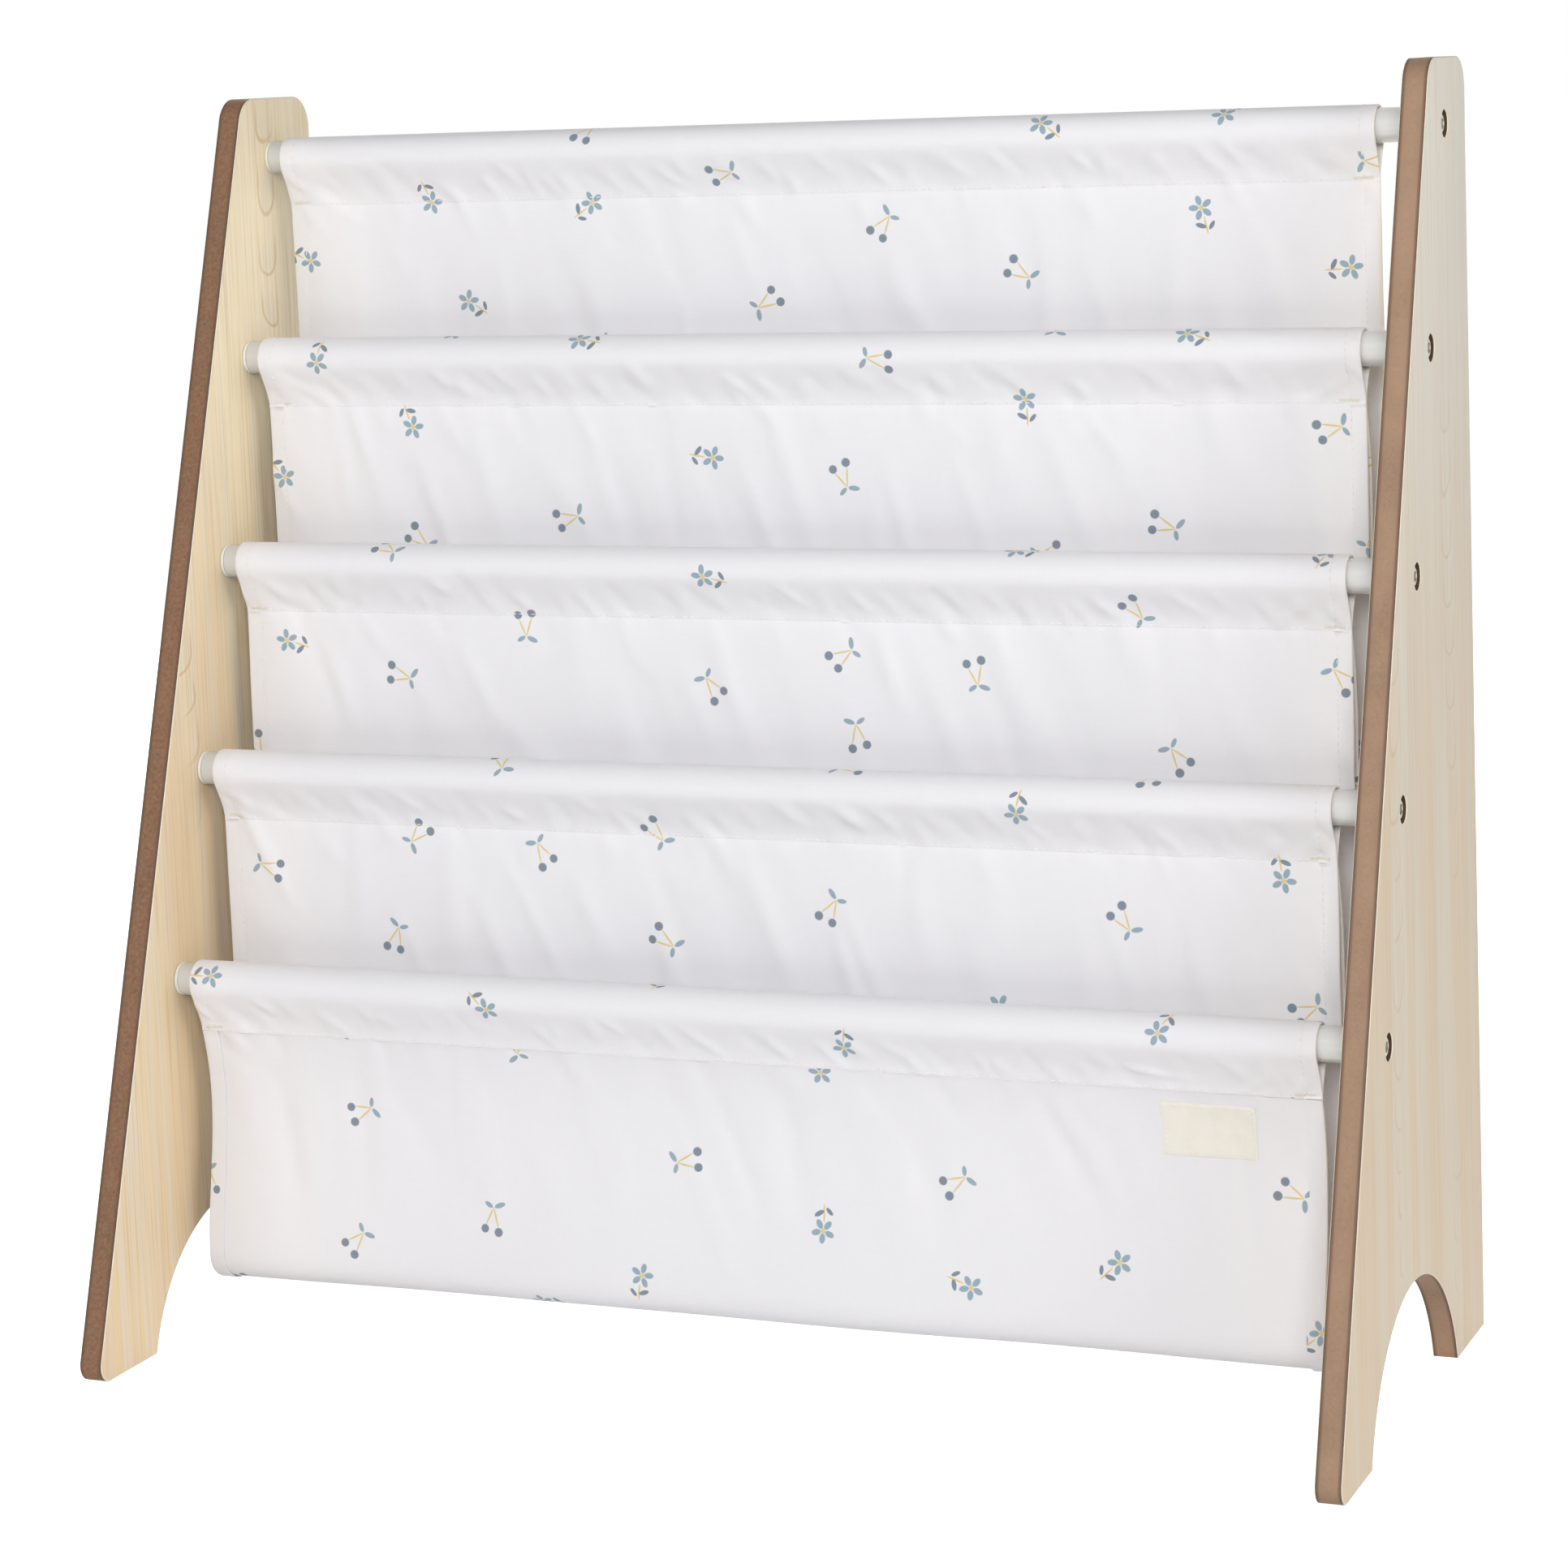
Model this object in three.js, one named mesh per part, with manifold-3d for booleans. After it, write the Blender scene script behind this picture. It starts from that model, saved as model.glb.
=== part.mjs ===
// A free-standing sling bookshelf for a child's room. Two side boards with a leaning front edge are
// joined by five steel tubes, and a strip of cloth hangs over the tubes in four book pockets.
// Sizes are in millimetres. X runs across the shelf, Y to its back and Z up, and the origin is on
// the floor in the middle of the footprint.

import * as THREE from 'three';
import { mergeVertices } from 'three/addons/utils/BufferGeometryUtils.js';
import Module from 'manifold-3d';

const wasm = await Module();
wasm.setup();

// The gap that pieces resting on each other keep, and how far a cutter runs past a face
const seatGap = 0.3;
const cutOverrun = 2;

// Side boards; their depth runs to where the line of the front edge meets the floor
const shelfWidth = 610;
const boardThickness = 12;
const boardHeight = 597;
const boardDepth = 267;
const boardTopDepth = 67;
const topCornerRadius = 15;
const toeRadius = 8;
const easedEdge = 0.5;
const archSpan = 160;
const archRise = 60;
const boardArcSteps = 20;

// Tubes, in a line that keeps its distance from the leaning front edge
const tubeCount = 5;
const tubeDiameter = 16;
const tubeWall = 1.2;
const topTubeDrop = 29.6;
const lowestTubeHeight = 175.4;
const tubeSetback = 37;
const tubeSides = 24;

// Bolts, each with a hexagon socket in a head that is sunk in the board
const boltDiameter = 6;
const boltPlay = 0.3;
const boltTipChamfer = 1;
const boltHeadDiameter = 10;
const boltHeadHeight = 4;
const boltHeadChamfer = 0.6;
const boltSides = 16;
const socketWidth = 5;
const socketDepth = 2.4;
const socketSides = 6;
const recessDiameter = 12.5;
const recessDepth = 5.3;
const recessSides = 16;

// Plugs, pressed into the tube ends by rings on their shank
const plugFlange = 1.5;
const plugShank = 20;
const plugRingCount = 3;
const plugRingHeight = 0.5;
const plugLeadIn = 2;
const boltTipRoom = 2;

// Cloth: a sleeve round each tube, and a pocket hung between each sleeve and the next one down. The
// tubes stay bare between its edges and the boards.
const bareTubeLeft = 10;
const bareTubeRight = 18;
const clothThickness = 1.2;
const sleeveEase = 1.2;
const seamBelowTube = 17;
const sleeveArcSteps = 14;
const pocketDepth = 150.5;
const pocketTurnRise = 14;
const innerPocketBelly = -2.5;
const frontPocketBelly = 4;
const pocketWaist = 14;
const waistShare = 0.38;
const bellyShare = 0.3;

// Soft folds that run down the hanging cloth
const foldReach = 2.4;
const foldGrowth = 45;
const wideFold = 283;
const narrowFold = 166;
const narrowFoldShare = 0.45;
const foldSlantShare = 0.35;
const foldShiftShares = [0.05, 0.4, 0.72, 0.2, 0.55];
const foldColumns = 12;
const backWallSteps = 5;
const turnSteps = 8;
const frontWallSteps = 7;

// Label sewn to the lowest pocket
const labelWidth = 43.5;
const labelHeight = 25.5;
const labelThickness = 0.8;
const labelStandoff = 0.7;
const labelFromEdge = 31;
const labelBelowSeam = 6;
const labelSteps = 3;

// Places worked out from those sizes
const boardInnerFace = shelfWidth / 2 - boardThickness;
const frontLean = (boardDepth - boardTopDepth) / boardHeight;
const toeAngle = Math.atan2(boardHeight, boardDepth - boardTopDepth);
const toeTrim = toeRadius / Math.tan(toeAngle / 2) - toeRadius;
const topTubeHeight = boardHeight - topTubeDrop;
const tubePitch = (topTubeHeight - lowestTubeHeight) / (tubeCount - 1);
const tubeRadius = tubeDiameter / 2;
const tubeBore = tubeDiameter - 2 * tubeWall;
const tubeEnd = boardInnerFace - plugFlange - 2 * seatGap;
const seamDrop = tubeRadius + seamBelowTube;
const plyOffset = (clothThickness + seatGap) / 2;
const clothLeft = bareTubeLeft - boardInnerFace;
const clothWidth = 2 * boardInnerFace - bareTubeLeft - bareTubeRight;

const laminate = new THREE.MeshStandardMaterial({ color: 0xd9c7ab, roughness: 0.55, metalness: 0 });
const whitePaint = new THREE.MeshStandardMaterial({ color: 0xe4e4dd, roughness: 0.35, metalness: 0 });
const whitePlastic = new THREE.MeshStandardMaterial({ color: 0xeeeee8, roughness: 0.5, metalness: 0 });
const zincSteel = new THREE.MeshStandardMaterial({ color: 0xa9aaa6, roughness: 0.35, metalness: 1 });
const whiteCloth = new THREE.MeshStandardMaterial({ color: 0xe6e4e4, roughness: 0.95, metalness: 0 });
const creamTape = new THREE.MeshStandardMaterial({ color: 0xe6dcc6, roughness: 0.9, metalness: 0 });

// The rounded toe stops short of that line, so the shelf moves forward to stay centred
const shelf = new THREE.Group();
shelf.position.y = -toeTrim / 2;

function addPiece(name, geometry, material, parent = shelf) {
  const mesh = new THREE.Mesh(geometry, material);
  mesh.name = name;
  parent.add(mesh);
  return mesh;
}

// The front edge's place at a height, and each tube's centre
function frontEdgeAt(height) {
  return -boardDepth / 2 + frontLean * height;
}

function tubeCentre(tube) {
  const height = topTubeHeight - tubePitch * (tube - 1);
  return { y: frontEdgeAt(height) + tubeSetback, z: height };
}

// Solids for cutting: a closed geometry in, a closed geometry out
function toSolid(geometry) {
  const bare = geometry.clone();
  bare.deleteAttribute('normal');
  bare.deleteAttribute('uv');
  const merged = mergeVertices(bare);
  const corners = merged.index.array;
  const triangles = [];
  for (let first = 0; first < corners.length; first += 3) {
    const [a, b, c] = corners.slice(first, first + 3);
    if (a !== b && b !== c && c !== a) {
      triangles.push(a, b, c);
    }
  }
  return new wasm.Manifold(new wasm.Mesh({
    numProp: 3,
    vertProperties: Float32Array.from(merged.attributes.position.array),
    triVerts: Uint32Array.from(triangles),
  }));
}

function toGeometry(solid) {
  const { vertProperties, triVerts } = solid.getMesh();
  const geometry = new THREE.BufferGeometry();
  geometry.setAttribute('position', new THREE.BufferAttribute(vertProperties, 3));
  geometry.setIndex(new THREE.BufferAttribute(triVerts, 1));
  geometry.computeVertexNormals();
  return geometry;
}

// A turned piece from its half profile of [radius, height] pairs, standing along +Y
function turned(profile, sides) {
  return new THREE.LatheGeometry(profile.map(([radius, height]) => new THREE.Vector2(radius, height)), sides);
}

// Side board: the outline in Y and Z is walked from the toe, along the floor and round
function addCorner(outline, before, corner, after, radius) {
  const toBefore = before.clone().sub(corner).normalize();
  const toAfter = after.clone().sub(corner).normalize();
  const halfAngle = toBefore.angleTo(toAfter) / 2;
  const middle = toBefore.clone().add(toAfter).normalize();
  const centre = corner.clone().addScaledVector(middle, radius / Math.sin(halfAngle));
  const start = corner.clone().addScaledVector(toBefore, radius / Math.tan(halfAngle)).sub(centre);
  const end = corner.clone().addScaledVector(toAfter, radius / Math.tan(halfAngle)).sub(centre);
  outline.absarc(centre.x, centre.y, radius, start.angle(), end.angle(), false);
}

function boardOutline() {
  const toe = new THREE.Vector2(-boardDepth / 2, 0);
  const heel = new THREE.Vector2(boardDepth / 2, 0);
  const topBack = new THREE.Vector2(boardDepth / 2, boardHeight);
  const topFront = new THREE.Vector2(boardDepth / 2 - boardTopDepth, boardHeight);
  const archRadius = ((archSpan / 2) ** 2 + archRise ** 2) / (2 * archRise);
  const archCentre = archRise - archRadius;
  const archFrontAngle = Math.atan2(-archCentre, -archSpan / 2);
  const archBackAngle = Math.atan2(-archCentre, archSpan / 2);
  const outline = new THREE.Shape();
  addCorner(outline, topFront, toe, heel, toeRadius);
  outline.lineTo(-archSpan / 2, 0);
  outline.absarc(0, archCentre, archRadius, archFrontAngle, archBackAngle, true);
  outline.lineTo(heel.x, heel.y);
  addCorner(outline, heel, topBack, topFront, topCornerRadius);
  addCorner(outline, topBack, topFront, toe, topCornerRadius);
  outline.closePath();
  return outline;
}

// Cutter for one bolt: the clearance hole and the recess for its head, along +Y from the inner face
function boltCutter() {
  const holeRadius = boltDiameter / 2 + boltPlay;
  const recessFloor = boardThickness - recessDepth;
  return turned([
    [0, -cutOverrun],
    [holeRadius, -cutOverrun],
    [holeRadius, recessFloor],
    [recessDiameter / 2, recessFloor],
    [recessDiameter / 2, boardThickness + cutOverrun],
    [0, boardThickness + cutOverrun],
  ], recessSides);
}

function sideBoardGeometry(side) {
  const slab = new THREE.ExtrudeGeometry(boardOutline(), {
    depth: boardThickness - 2 * easedEdge,
    bevelThickness: easedEdge,
    bevelSize: easedEdge,
    bevelOffset: -easedEdge,
    bevelSegments: 1,
    curveSegments: boardArcSteps,
  });
  slab.translate(0, 0, easedEdge);
  slab.applyMatrix4(new THREE.Matrix4().makeBasis(
    new THREE.Vector3(0, 1, 0),
    new THREE.Vector3(0, 0, 1),
    new THREE.Vector3(1, 0, 0),
  ));
  slab.translate(side > 0 ? boardInnerFace : -shelfWidth / 2, 0, 0);
  let board = toSolid(slab);
  for (let tube = 1; tube <= tubeCount; tube += 1) {
    const centre = tubeCentre(tube);
    const cutter = boltCutter();
    cutter.rotateZ(-side * Math.PI / 2);
    cutter.translate(side * boardInnerFace, centre.y, centre.z);
    board = board.subtract(toSolid(cutter));
  }
  return toGeometry(board);
}

// Tube, along +Y from its middle
function tubeGeometry() {
  return turned([
    [tubeRadius, -tubeEnd],
    [tubeRadius, tubeEnd],
    [tubeBore / 2, tubeEnd],
    [tubeBore / 2, -tubeEnd],
    [tubeRadius, -tubeEnd],
  ], tubeSides);
}

// Plug, along +Y towards the board: its bore takes the bolt, and its rings grip the tube
function plugGeometry() {
  const bore = boltDiameter / 2 + boltPlay;
  const ringRadius = tubeBore / 2 - seatGap;
  const coreRadius = ringRadius - plugRingHeight;
  const ringRise = (plugShank - 2 * plugLeadIn) / plugRingCount;
  const tip = -plugFlange - plugShank;
  const profile = [[bore, 0], [bore, tip], [coreRadius - plugRingHeight, tip], [coreRadius, tip + plugLeadIn]];
  for (let ring = 0; ring < plugRingCount; ring += 1) {
    const foot = tip + plugLeadIn + ringRise * ring;
    profile.push([ringRadius, foot + ringRise / 2], [coreRadius, foot + ringRise]);
  }
  profile.push([coreRadius, -plugFlange], [tubeRadius, -plugFlange], [tubeRadius, 0], [bore, 0]);
  return turned(profile, boltSides);
}

// Bolt, along +Y from the underside of its head
function boltGeometry() {
  const radius = boltDiameter / 2;
  const headRadius = boltHeadDiameter / 2;
  const length = boardThickness - recessDepth + plugFlange + plugShank - boltTipRoom;
  const body = turned([
    [0, -length],
    [radius - boltTipChamfer, -length],
    [radius, boltTipChamfer - length],
    [radius, 0],
    [headRadius, 0],
    [headRadius, boltHeadHeight - boltHeadChamfer],
    [headRadius - boltHeadChamfer, boltHeadHeight],
    [0, boltHeadHeight],
  ], boltSides);
  const socketRadius = socketWidth / 2 / Math.cos(Math.PI / socketSides);
  const socketHeight = socketDepth + cutOverrun;
  const socket = new THREE.CylinderGeometry(socketRadius, socketRadius, socketHeight, socketSides);
  socket.translate(0, boltHeadHeight - socketDepth + socketHeight / 2, 0);
  return toGeometry(toSolid(body).subtract(toSolid(socket)));
}

// Joins two matching surfaces, each a grid of rows and columns, into one closed solid
function thickSheet(outerPoint, innerPoint, rows, columns, ring) {
  const positions = [];
  for (const pointAt of [outerPoint, innerPoint]) {
    for (let row = 0; row < rows; row += 1) {
      for (let column = 0; column < columns; column += 1) {
        positions.push(...pointAt(row, column).toArray());
      }
    }
  }
  const outer = (row, column) => (row % rows) * columns + column;
  const inner = (row, column) => rows * columns + outer(row, column);
  const corners = [];
  const addQuad = (a, b, c, d) => corners.push(a, b, c, a, c, d);
  const lastRow = ring ? rows : rows - 1;
  const right = columns - 1;
  for (let row = 0; row < lastRow; row += 1) {
    const next = row + 1;
    for (let column = 0; column < right; column += 1) {
      addQuad(outer(row, column), outer(row, column + 1), outer(next, column + 1), outer(next, column));
      addQuad(inner(row, column), inner(next, column), inner(next, column + 1), inner(row, column + 1));
    }
    addQuad(outer(row, 0), outer(next, 0), inner(next, 0), inner(row, 0));
    addQuad(outer(row, right), inner(row, right), inner(next, right), outer(next, right));
  }
  for (let column = 0; column < right && !ring; column += 1) {
    const next = column + 1;
    addQuad(outer(0, column), inner(0, column), inner(0, next), outer(0, next));
    addQuad(outer(lastRow, column), outer(lastRow, next), inner(lastRow, next), inner(lastRow, column));
  }
  const geometry = new THREE.BufferGeometry();
  geometry.setAttribute('position', new THREE.Float32BufferAttribute(positions, 3));
  geometry.setIndex(corners);
  geometry.computeVertexNormals();
  return geometry;
}

// A teardrop in Y and Z round a tube's centre: a foot below, sides that touch a circle, and its top
function teardrop(radius, circleDrop, footHalfWidth, footDrop) {
  const toFoot = new THREE.Vector2(footHalfWidth, circleDrop - footDrop);
  const touch = toFoot.angle() + Math.acos(radius / toFoot.length()) - 2 * Math.PI;
  const points = [new THREE.Vector2(-footHalfWidth, -footDrop)];
  for (let step = 0; step <= sleeveArcSteps; step += 1) {
    const angle = Math.PI - touch + (2 * touch - Math.PI) * step / sleeveArcSteps;
    points.push(new THREE.Vector2(radius * Math.cos(angle), radius * Math.sin(angle) - circleDrop));
  }
  points.push(new THREE.Vector2(footHalfWidth, -footDrop));
  return points;
}

// Rod sleeve: it hangs on the top of its tube and is sewn shut below it
function sleeveGeometry(tube) {
  const innerRadius = tubeRadius + sleeveEase;
  const circleDrop = sleeveEase - seatGap;
  const footHalfWidth = plyOffset + clothThickness / 2;
  const outside = teardrop(innerRadius + clothThickness, circleDrop, footHalfWidth, seamDrop - seatGap);
  const inside = teardrop(innerRadius, circleDrop, seatGap / 2, seamDrop - clothThickness);
  const centre = tubeCentre(tube);
  const place = (outline) => (row, column) => new THREE.Vector3(
    clothLeft + clothWidth * column,
    centre.y + outline[row].x,
    centre.z + outline[row].y,
  );
  return thickSheet(place(outside), place(inside), outside.length, 2, true);
}

// How far the cloth that hangs from a tube swings to the front or back in its folds
function foldAt(tube, across, height) {
  const drop = Math.max(tubeCentre(tube).z - seamDrop - height, 0);
  const growth = drop / (drop + foldGrowth);
  const shift = foldShiftShares[(tube - 1) % foldShiftShares.length];
  const along = across + foldSlantShare * drop;
  const wide = Math.sin(2 * Math.PI * (along / wideFold + shift));
  const narrow = Math.sin(2 * Math.PI * (along / narrowFold + 2 * shift));
  return foldReach * growth * ((1 - narrowFoldShare) * wide + narrowFoldShare * narrow);
}

// Pocket profile in Y and Z: straight down from the upper seam, round the turn, and up to the lower
// seam in an S, because the stiff cloth leans back there and swells above the turn
function pocketProfile(pocket) {
  const upper = tubeCentre(pocket);
  const lower = tubeCentre(pocket + 1);
  const belly = pocket === tubeCount - 1 ? frontPocketBelly : innerPocketBelly;
  const back = upper.y - plyOffset;
  const front = lower.y + plyOffset;
  const turnTop = lower.z - pocketDepth + pocketTurnRise;
  const turnFront = front - belly;
  const frontTop = lower.z - seamDrop;
  const wallRise = frontTop - turnTop;
  const backWall = new THREE.LineCurve(
    new THREE.Vector2(back, upper.z - seamDrop),
    new THREE.Vector2(back, turnTop),
  );
  const turn = new THREE.EllipseCurve(
    (back + turnFront) / 2,
    turnTop,
    (back - turnFront) / 2,
    pocketTurnRise,
    0,
    Math.PI,
    true,
  );
  const frontWall = new THREE.CubicBezierCurve(
    new THREE.Vector2(turnFront, turnTop),
    new THREE.Vector2(turnFront, turnTop + wallRise * bellyShare),
    new THREE.Vector2(front + pocketWaist, frontTop - wallRise * waistShare),
    new THREE.Vector2(front, frontTop),
  );
  return { back, front, backWall, turn, frontWall };
}

// A point of a pocket, moved off the middle of the cloth and then swung by the folds
function pocketPoint(pocket, profile, middle, along, off, across) {
  const outward = new THREE.Vector2(-along.y, along.x).negate();
  const point = middle.clone().addScaledVector(outward, -off);
  const toFront = THREE.MathUtils.clamp((profile.back - point.x) / (profile.back - profile.front), 0, 1);
  const swing = (1 - toFront) * foldAt(pocket, across, point.y) + toFront * foldAt(pocket + 1, across, point.y);
  return new THREE.Vector3(across, point.x + swing, point.y);
}

function pocketGeometry(pocket) {
  const profile = pocketProfile(pocket);
  const stations = [];
  const addStations = (curve, steps, first) => {
    for (let step = first; step <= steps; step += 1) {
      const share = step / steps;
      stations.push({ middle: curve.getPoint(share), along: curve.getTangent(share) });
    }
  };
  addStations(profile.backWall, backWallSteps, 0);
  addStations(profile.turn, turnSteps, 1);
  addStations(profile.frontWall, frontWallSteps, 1);
  const across = (column) => clothLeft + clothWidth * column / foldColumns;
  const layer = (off) => (row, column) => {
    const { middle, along } = stations[row];
    return pocketPoint(pocket, profile, middle, along, off, across(column));
  };
  const half = clothThickness / 2;
  return thickSheet(layer(half), layer(-half), stations.length, foldColumns + 1, false);
}

// Label: a thin patch that follows the front wall of the lowest pocket
function labelGeometry() {
  const pocket = tubeCount - 1;
  const profile = pocketProfile(pocket);
  const wallLength = profile.frontWall.getLength();
  const right = clothLeft + clothWidth - labelFromEdge;
  const layer = (off) => (row, column) => {
    const fromSeam = labelBelowSeam + labelHeight * (labelSteps - row) / labelSteps;
    const share = 1 - fromSeam / wallLength;
    const middle = profile.frontWall.getPointAt(share);
    const along = profile.frontWall.getTangentAt(share);
    const across = right - labelWidth * (labelSteps - column) / labelSteps;
    return pocketPoint(pocket, profile, middle, along, off, across);
  };
  const innerOff = clothThickness / 2 + labelStandoff;
  return thickSheet(layer(innerOff + labelThickness), layer(innerOff), labelSteps + 1, labelSteps + 1, false);
}

// Assembly: the boards, then each tube with its two plugs, two bolts and sleeve
const sides = [{ name: 'left', side: -1 }, { name: 'right', side: 1 }];
const tubeShape = tubeGeometry();
const plugShape = plugGeometry();
const boltShape = boltGeometry();

for (const { name, side } of sides) {
  addPiece(`${name}_side_board`, sideBoardGeometry(side), laminate);
}

for (let tube = 1; tube <= tubeCount; tube += 1) {
  const centre = tubeCentre(tube);
  const row = new THREE.Group();
  row.position.set(0, centre.y, centre.z);
  shelf.add(row);
  addPiece(`tube_${tube}`, tubeShape, whitePaint, row).rotation.z = -Math.PI / 2;
  for (const { name, side } of sides) {
    const end = new THREE.Group();
    end.rotation.z = -side * Math.PI / 2;
    row.add(end);
    addPiece(`${name}_tube_plug_${tube}`, plugShape, whitePlastic, end).position.y = boardInnerFace - seatGap;
    const headSeat = shelfWidth / 2 - recessDepth + seatGap;
    addPiece(`${name}_bolt_${tube}`, boltShape, zincSteel, end).position.y = headSeat;
  }
  addPiece(`rod_sleeve_${tube}`, sleeveGeometry(tube), whiteCloth);
}

for (let pocket = 1; pocket < tubeCount; pocket += 1) {
  addPiece(`pocket_sling_${pocket}`, pocketGeometry(pocket), whiteCloth);
}
addPiece('sewn_label', labelGeometry(), creamTape);

export default shelf;
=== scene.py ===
"""Dresses the CAD frame of a sling bookshelf: boards, tubes, cloth pockets and a studio stage.

Everything is in metres, in the frame's own axes: X across the shelf, Y to its back, Z up.
"""

import functools
import math
import random

import bmesh
import bpy
import numpy as np
from mathutils import Matrix, Vector


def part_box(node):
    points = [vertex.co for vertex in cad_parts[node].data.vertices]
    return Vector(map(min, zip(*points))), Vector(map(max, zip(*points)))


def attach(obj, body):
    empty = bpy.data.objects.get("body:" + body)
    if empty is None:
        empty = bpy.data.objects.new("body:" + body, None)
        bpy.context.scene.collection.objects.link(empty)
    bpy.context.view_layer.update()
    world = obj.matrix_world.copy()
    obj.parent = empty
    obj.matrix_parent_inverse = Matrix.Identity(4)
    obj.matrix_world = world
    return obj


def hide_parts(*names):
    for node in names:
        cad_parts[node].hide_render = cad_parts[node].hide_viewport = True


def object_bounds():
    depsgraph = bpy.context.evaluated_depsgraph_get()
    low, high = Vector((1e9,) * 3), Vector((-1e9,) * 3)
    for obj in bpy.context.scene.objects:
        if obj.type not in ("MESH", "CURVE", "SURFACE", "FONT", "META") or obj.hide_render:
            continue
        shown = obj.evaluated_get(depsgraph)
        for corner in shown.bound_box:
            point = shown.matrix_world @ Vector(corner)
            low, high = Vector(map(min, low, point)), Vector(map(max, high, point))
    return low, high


bl_info = {
    "name": "Sling Bookshelf",
    "version": (1, 0, 0),
    "blender": (4, 5, 0),
    "location": "View3D > Sidebar > Bookshelf",
    "description": "Dresses the frame of a sling bookshelf with boards, tubes, cloth and a stage",
    "category": "Add Mesh",
}

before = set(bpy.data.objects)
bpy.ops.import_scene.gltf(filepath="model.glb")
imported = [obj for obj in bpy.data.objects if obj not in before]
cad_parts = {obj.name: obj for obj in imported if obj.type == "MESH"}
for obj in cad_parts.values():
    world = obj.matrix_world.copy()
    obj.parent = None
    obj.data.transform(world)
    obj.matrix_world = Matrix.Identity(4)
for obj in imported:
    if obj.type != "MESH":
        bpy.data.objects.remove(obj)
cad_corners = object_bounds()

MM = 0.001
SIDES = {"left": -1, "right": 1}
TUBE_COUNT = sum(name.startswith("tube_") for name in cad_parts)
TUBES = range(1, TUBE_COUNT + 1)
POCKETS = range(1, TUBE_COUNT)


def linear(code):
    """An sRGB hex colour as the linear RGBA that shaders take."""
    shares = [int(code[place : place + 2], 16) / 255 for place in (1, 3, 5)]
    return (*(s / 12.92 if s <= 0.04045 else ((s + 0.055) / 1.055) ** 2.4 for s in shares), 1.0)


def size_property(name, description, default):
    return bpy.props.FloatProperty(
        name=name, description=description, default=default, unit="LENGTH", precision=5
    )


def colour_property(name, description, code):
    return bpy.props.FloatVectorProperty(
        name=name, description=description, default=linear(code), size=4, min=0, max=1, subtype="COLOR"
    )


def power_property(name, description, watts):
    return bpy.props.FloatProperty(name=name, description=description, default=watts, unit="POWER")


def share_property(name, description, default):
    return bpy.props.FloatProperty(
        name=name, description=description, default=default, min=0, max=1, subtype="FACTOR"
    )


class BoardSettings(bpy.types.PropertyGroup):
    floor_depth: size_property(
        "Floor Depth", "Depth at the floor, to where the front edge's line meets it", 267 * MM
    )
    top_depth: size_property("Top Depth", "Depth at the top, before its corners are rounded", 67 * MM)
    corner_radius: size_property("Corner Radius", "Radius of the two top corners", 15 * MM)
    toe_radius: size_property("Toe Radius", "Radius of the front foot's toe", 8 * MM)
    arch_span: size_property("Arch Span", "Width of the arch between the feet", 160 * MM)
    arch_rise: size_property("Arch Rise", "Height of the arch between the feet", 60 * MM)
    laminate: size_property("Laminate", "Thickness of the laminate on each face", 0.4 * MM)
    arris: size_property("Arris", "How far in from the edge the laminate is eased", 0.8 * MM)
    # The dark line on the cut edge beside the laminate is painted shade
    shade_line_width: size_property("Shade Line Width", "Width of the dark line beside the laminate", 1.9 * MM)
    recess_diameter: size_property("Recess Diameter", "Diameter of a bolt head's recess", 12.5 * MM)
    recess_depth: size_property("Recess Depth", "Depth of a bolt head's recess", 5.3 * MM)
    hole_diameter: size_property("Hole Diameter", "Diameter of a bolt hole", 6.6 * MM)
    # Both faces carry one laminate: the inner ground is warmer and brighter, painted light for the
    # bounce between the boards
    inner_maple_bounce_lit: colour_property("Inner Maple Bounce Lit", "Ground of the laminate on the inner faces", "#F0D8AE")
    outer_maple: colour_property("Outer Maple", "Ground of the laminate on the outer faces", "#E8DCC6")
    # Paler towards the top of each face: painted light
    outer_top_painted_light: colour_property("Outer Top Painted Light", "Tone of the outer faces towards the top", "#F6F2E6")
    inner_top_painted_light: colour_property("Inner Top Painted Light", "Tone of the inner faces towards the top", "#FFF1D0")
    maple_pale: colour_property("Maple Pale", "Colour of its paler bands", "#EADFCB")
    maple_warm: colour_property("Maple Warm", "Colour of its warmer bands", "#E6C7A0")
    maple_grain: colour_property("Maple Grain", "Colour of its grain lines", "#C9AB80")
    maple_figure: colour_property("Maple Figure", "Colour of its small arches", "#C4925C")
    # A pale line: the laminate's cut, and a painted highlight along its eased border
    laminate_cut_and_highlight: colour_property("Laminate Cut And Highlight", "Colour of its cut border", "#EADFC9")
    # One fibreboard on both boards: the left edge is darker as painted shade, the right one paler as
    # painted light
    left_fibreboard_shaded: colour_property("Left Fibreboard Shaded", "Cut edge of the left board", "#774E38")
    right_fibreboard_lit: colour_property("Right Fibreboard Lit", "Cut edge of the right board", "#9E7E68")
    # Painted shade beside the laminate; the same colour also darkens the edge's mottle and the drilled
    # walls
    fibreboard_shade_and_mottle: colour_property("Fibreboard Shade And Mottle", "Dark line beside the laminate", "#4F3829")
    # The recess walls' dark brown is partly the raw fibre and partly painted shade in the recess
    drilled_wood_and_shade: colour_property("Drilled Wood And Shade", "Wall of the drilled recesses", "#5A4230")


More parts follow.
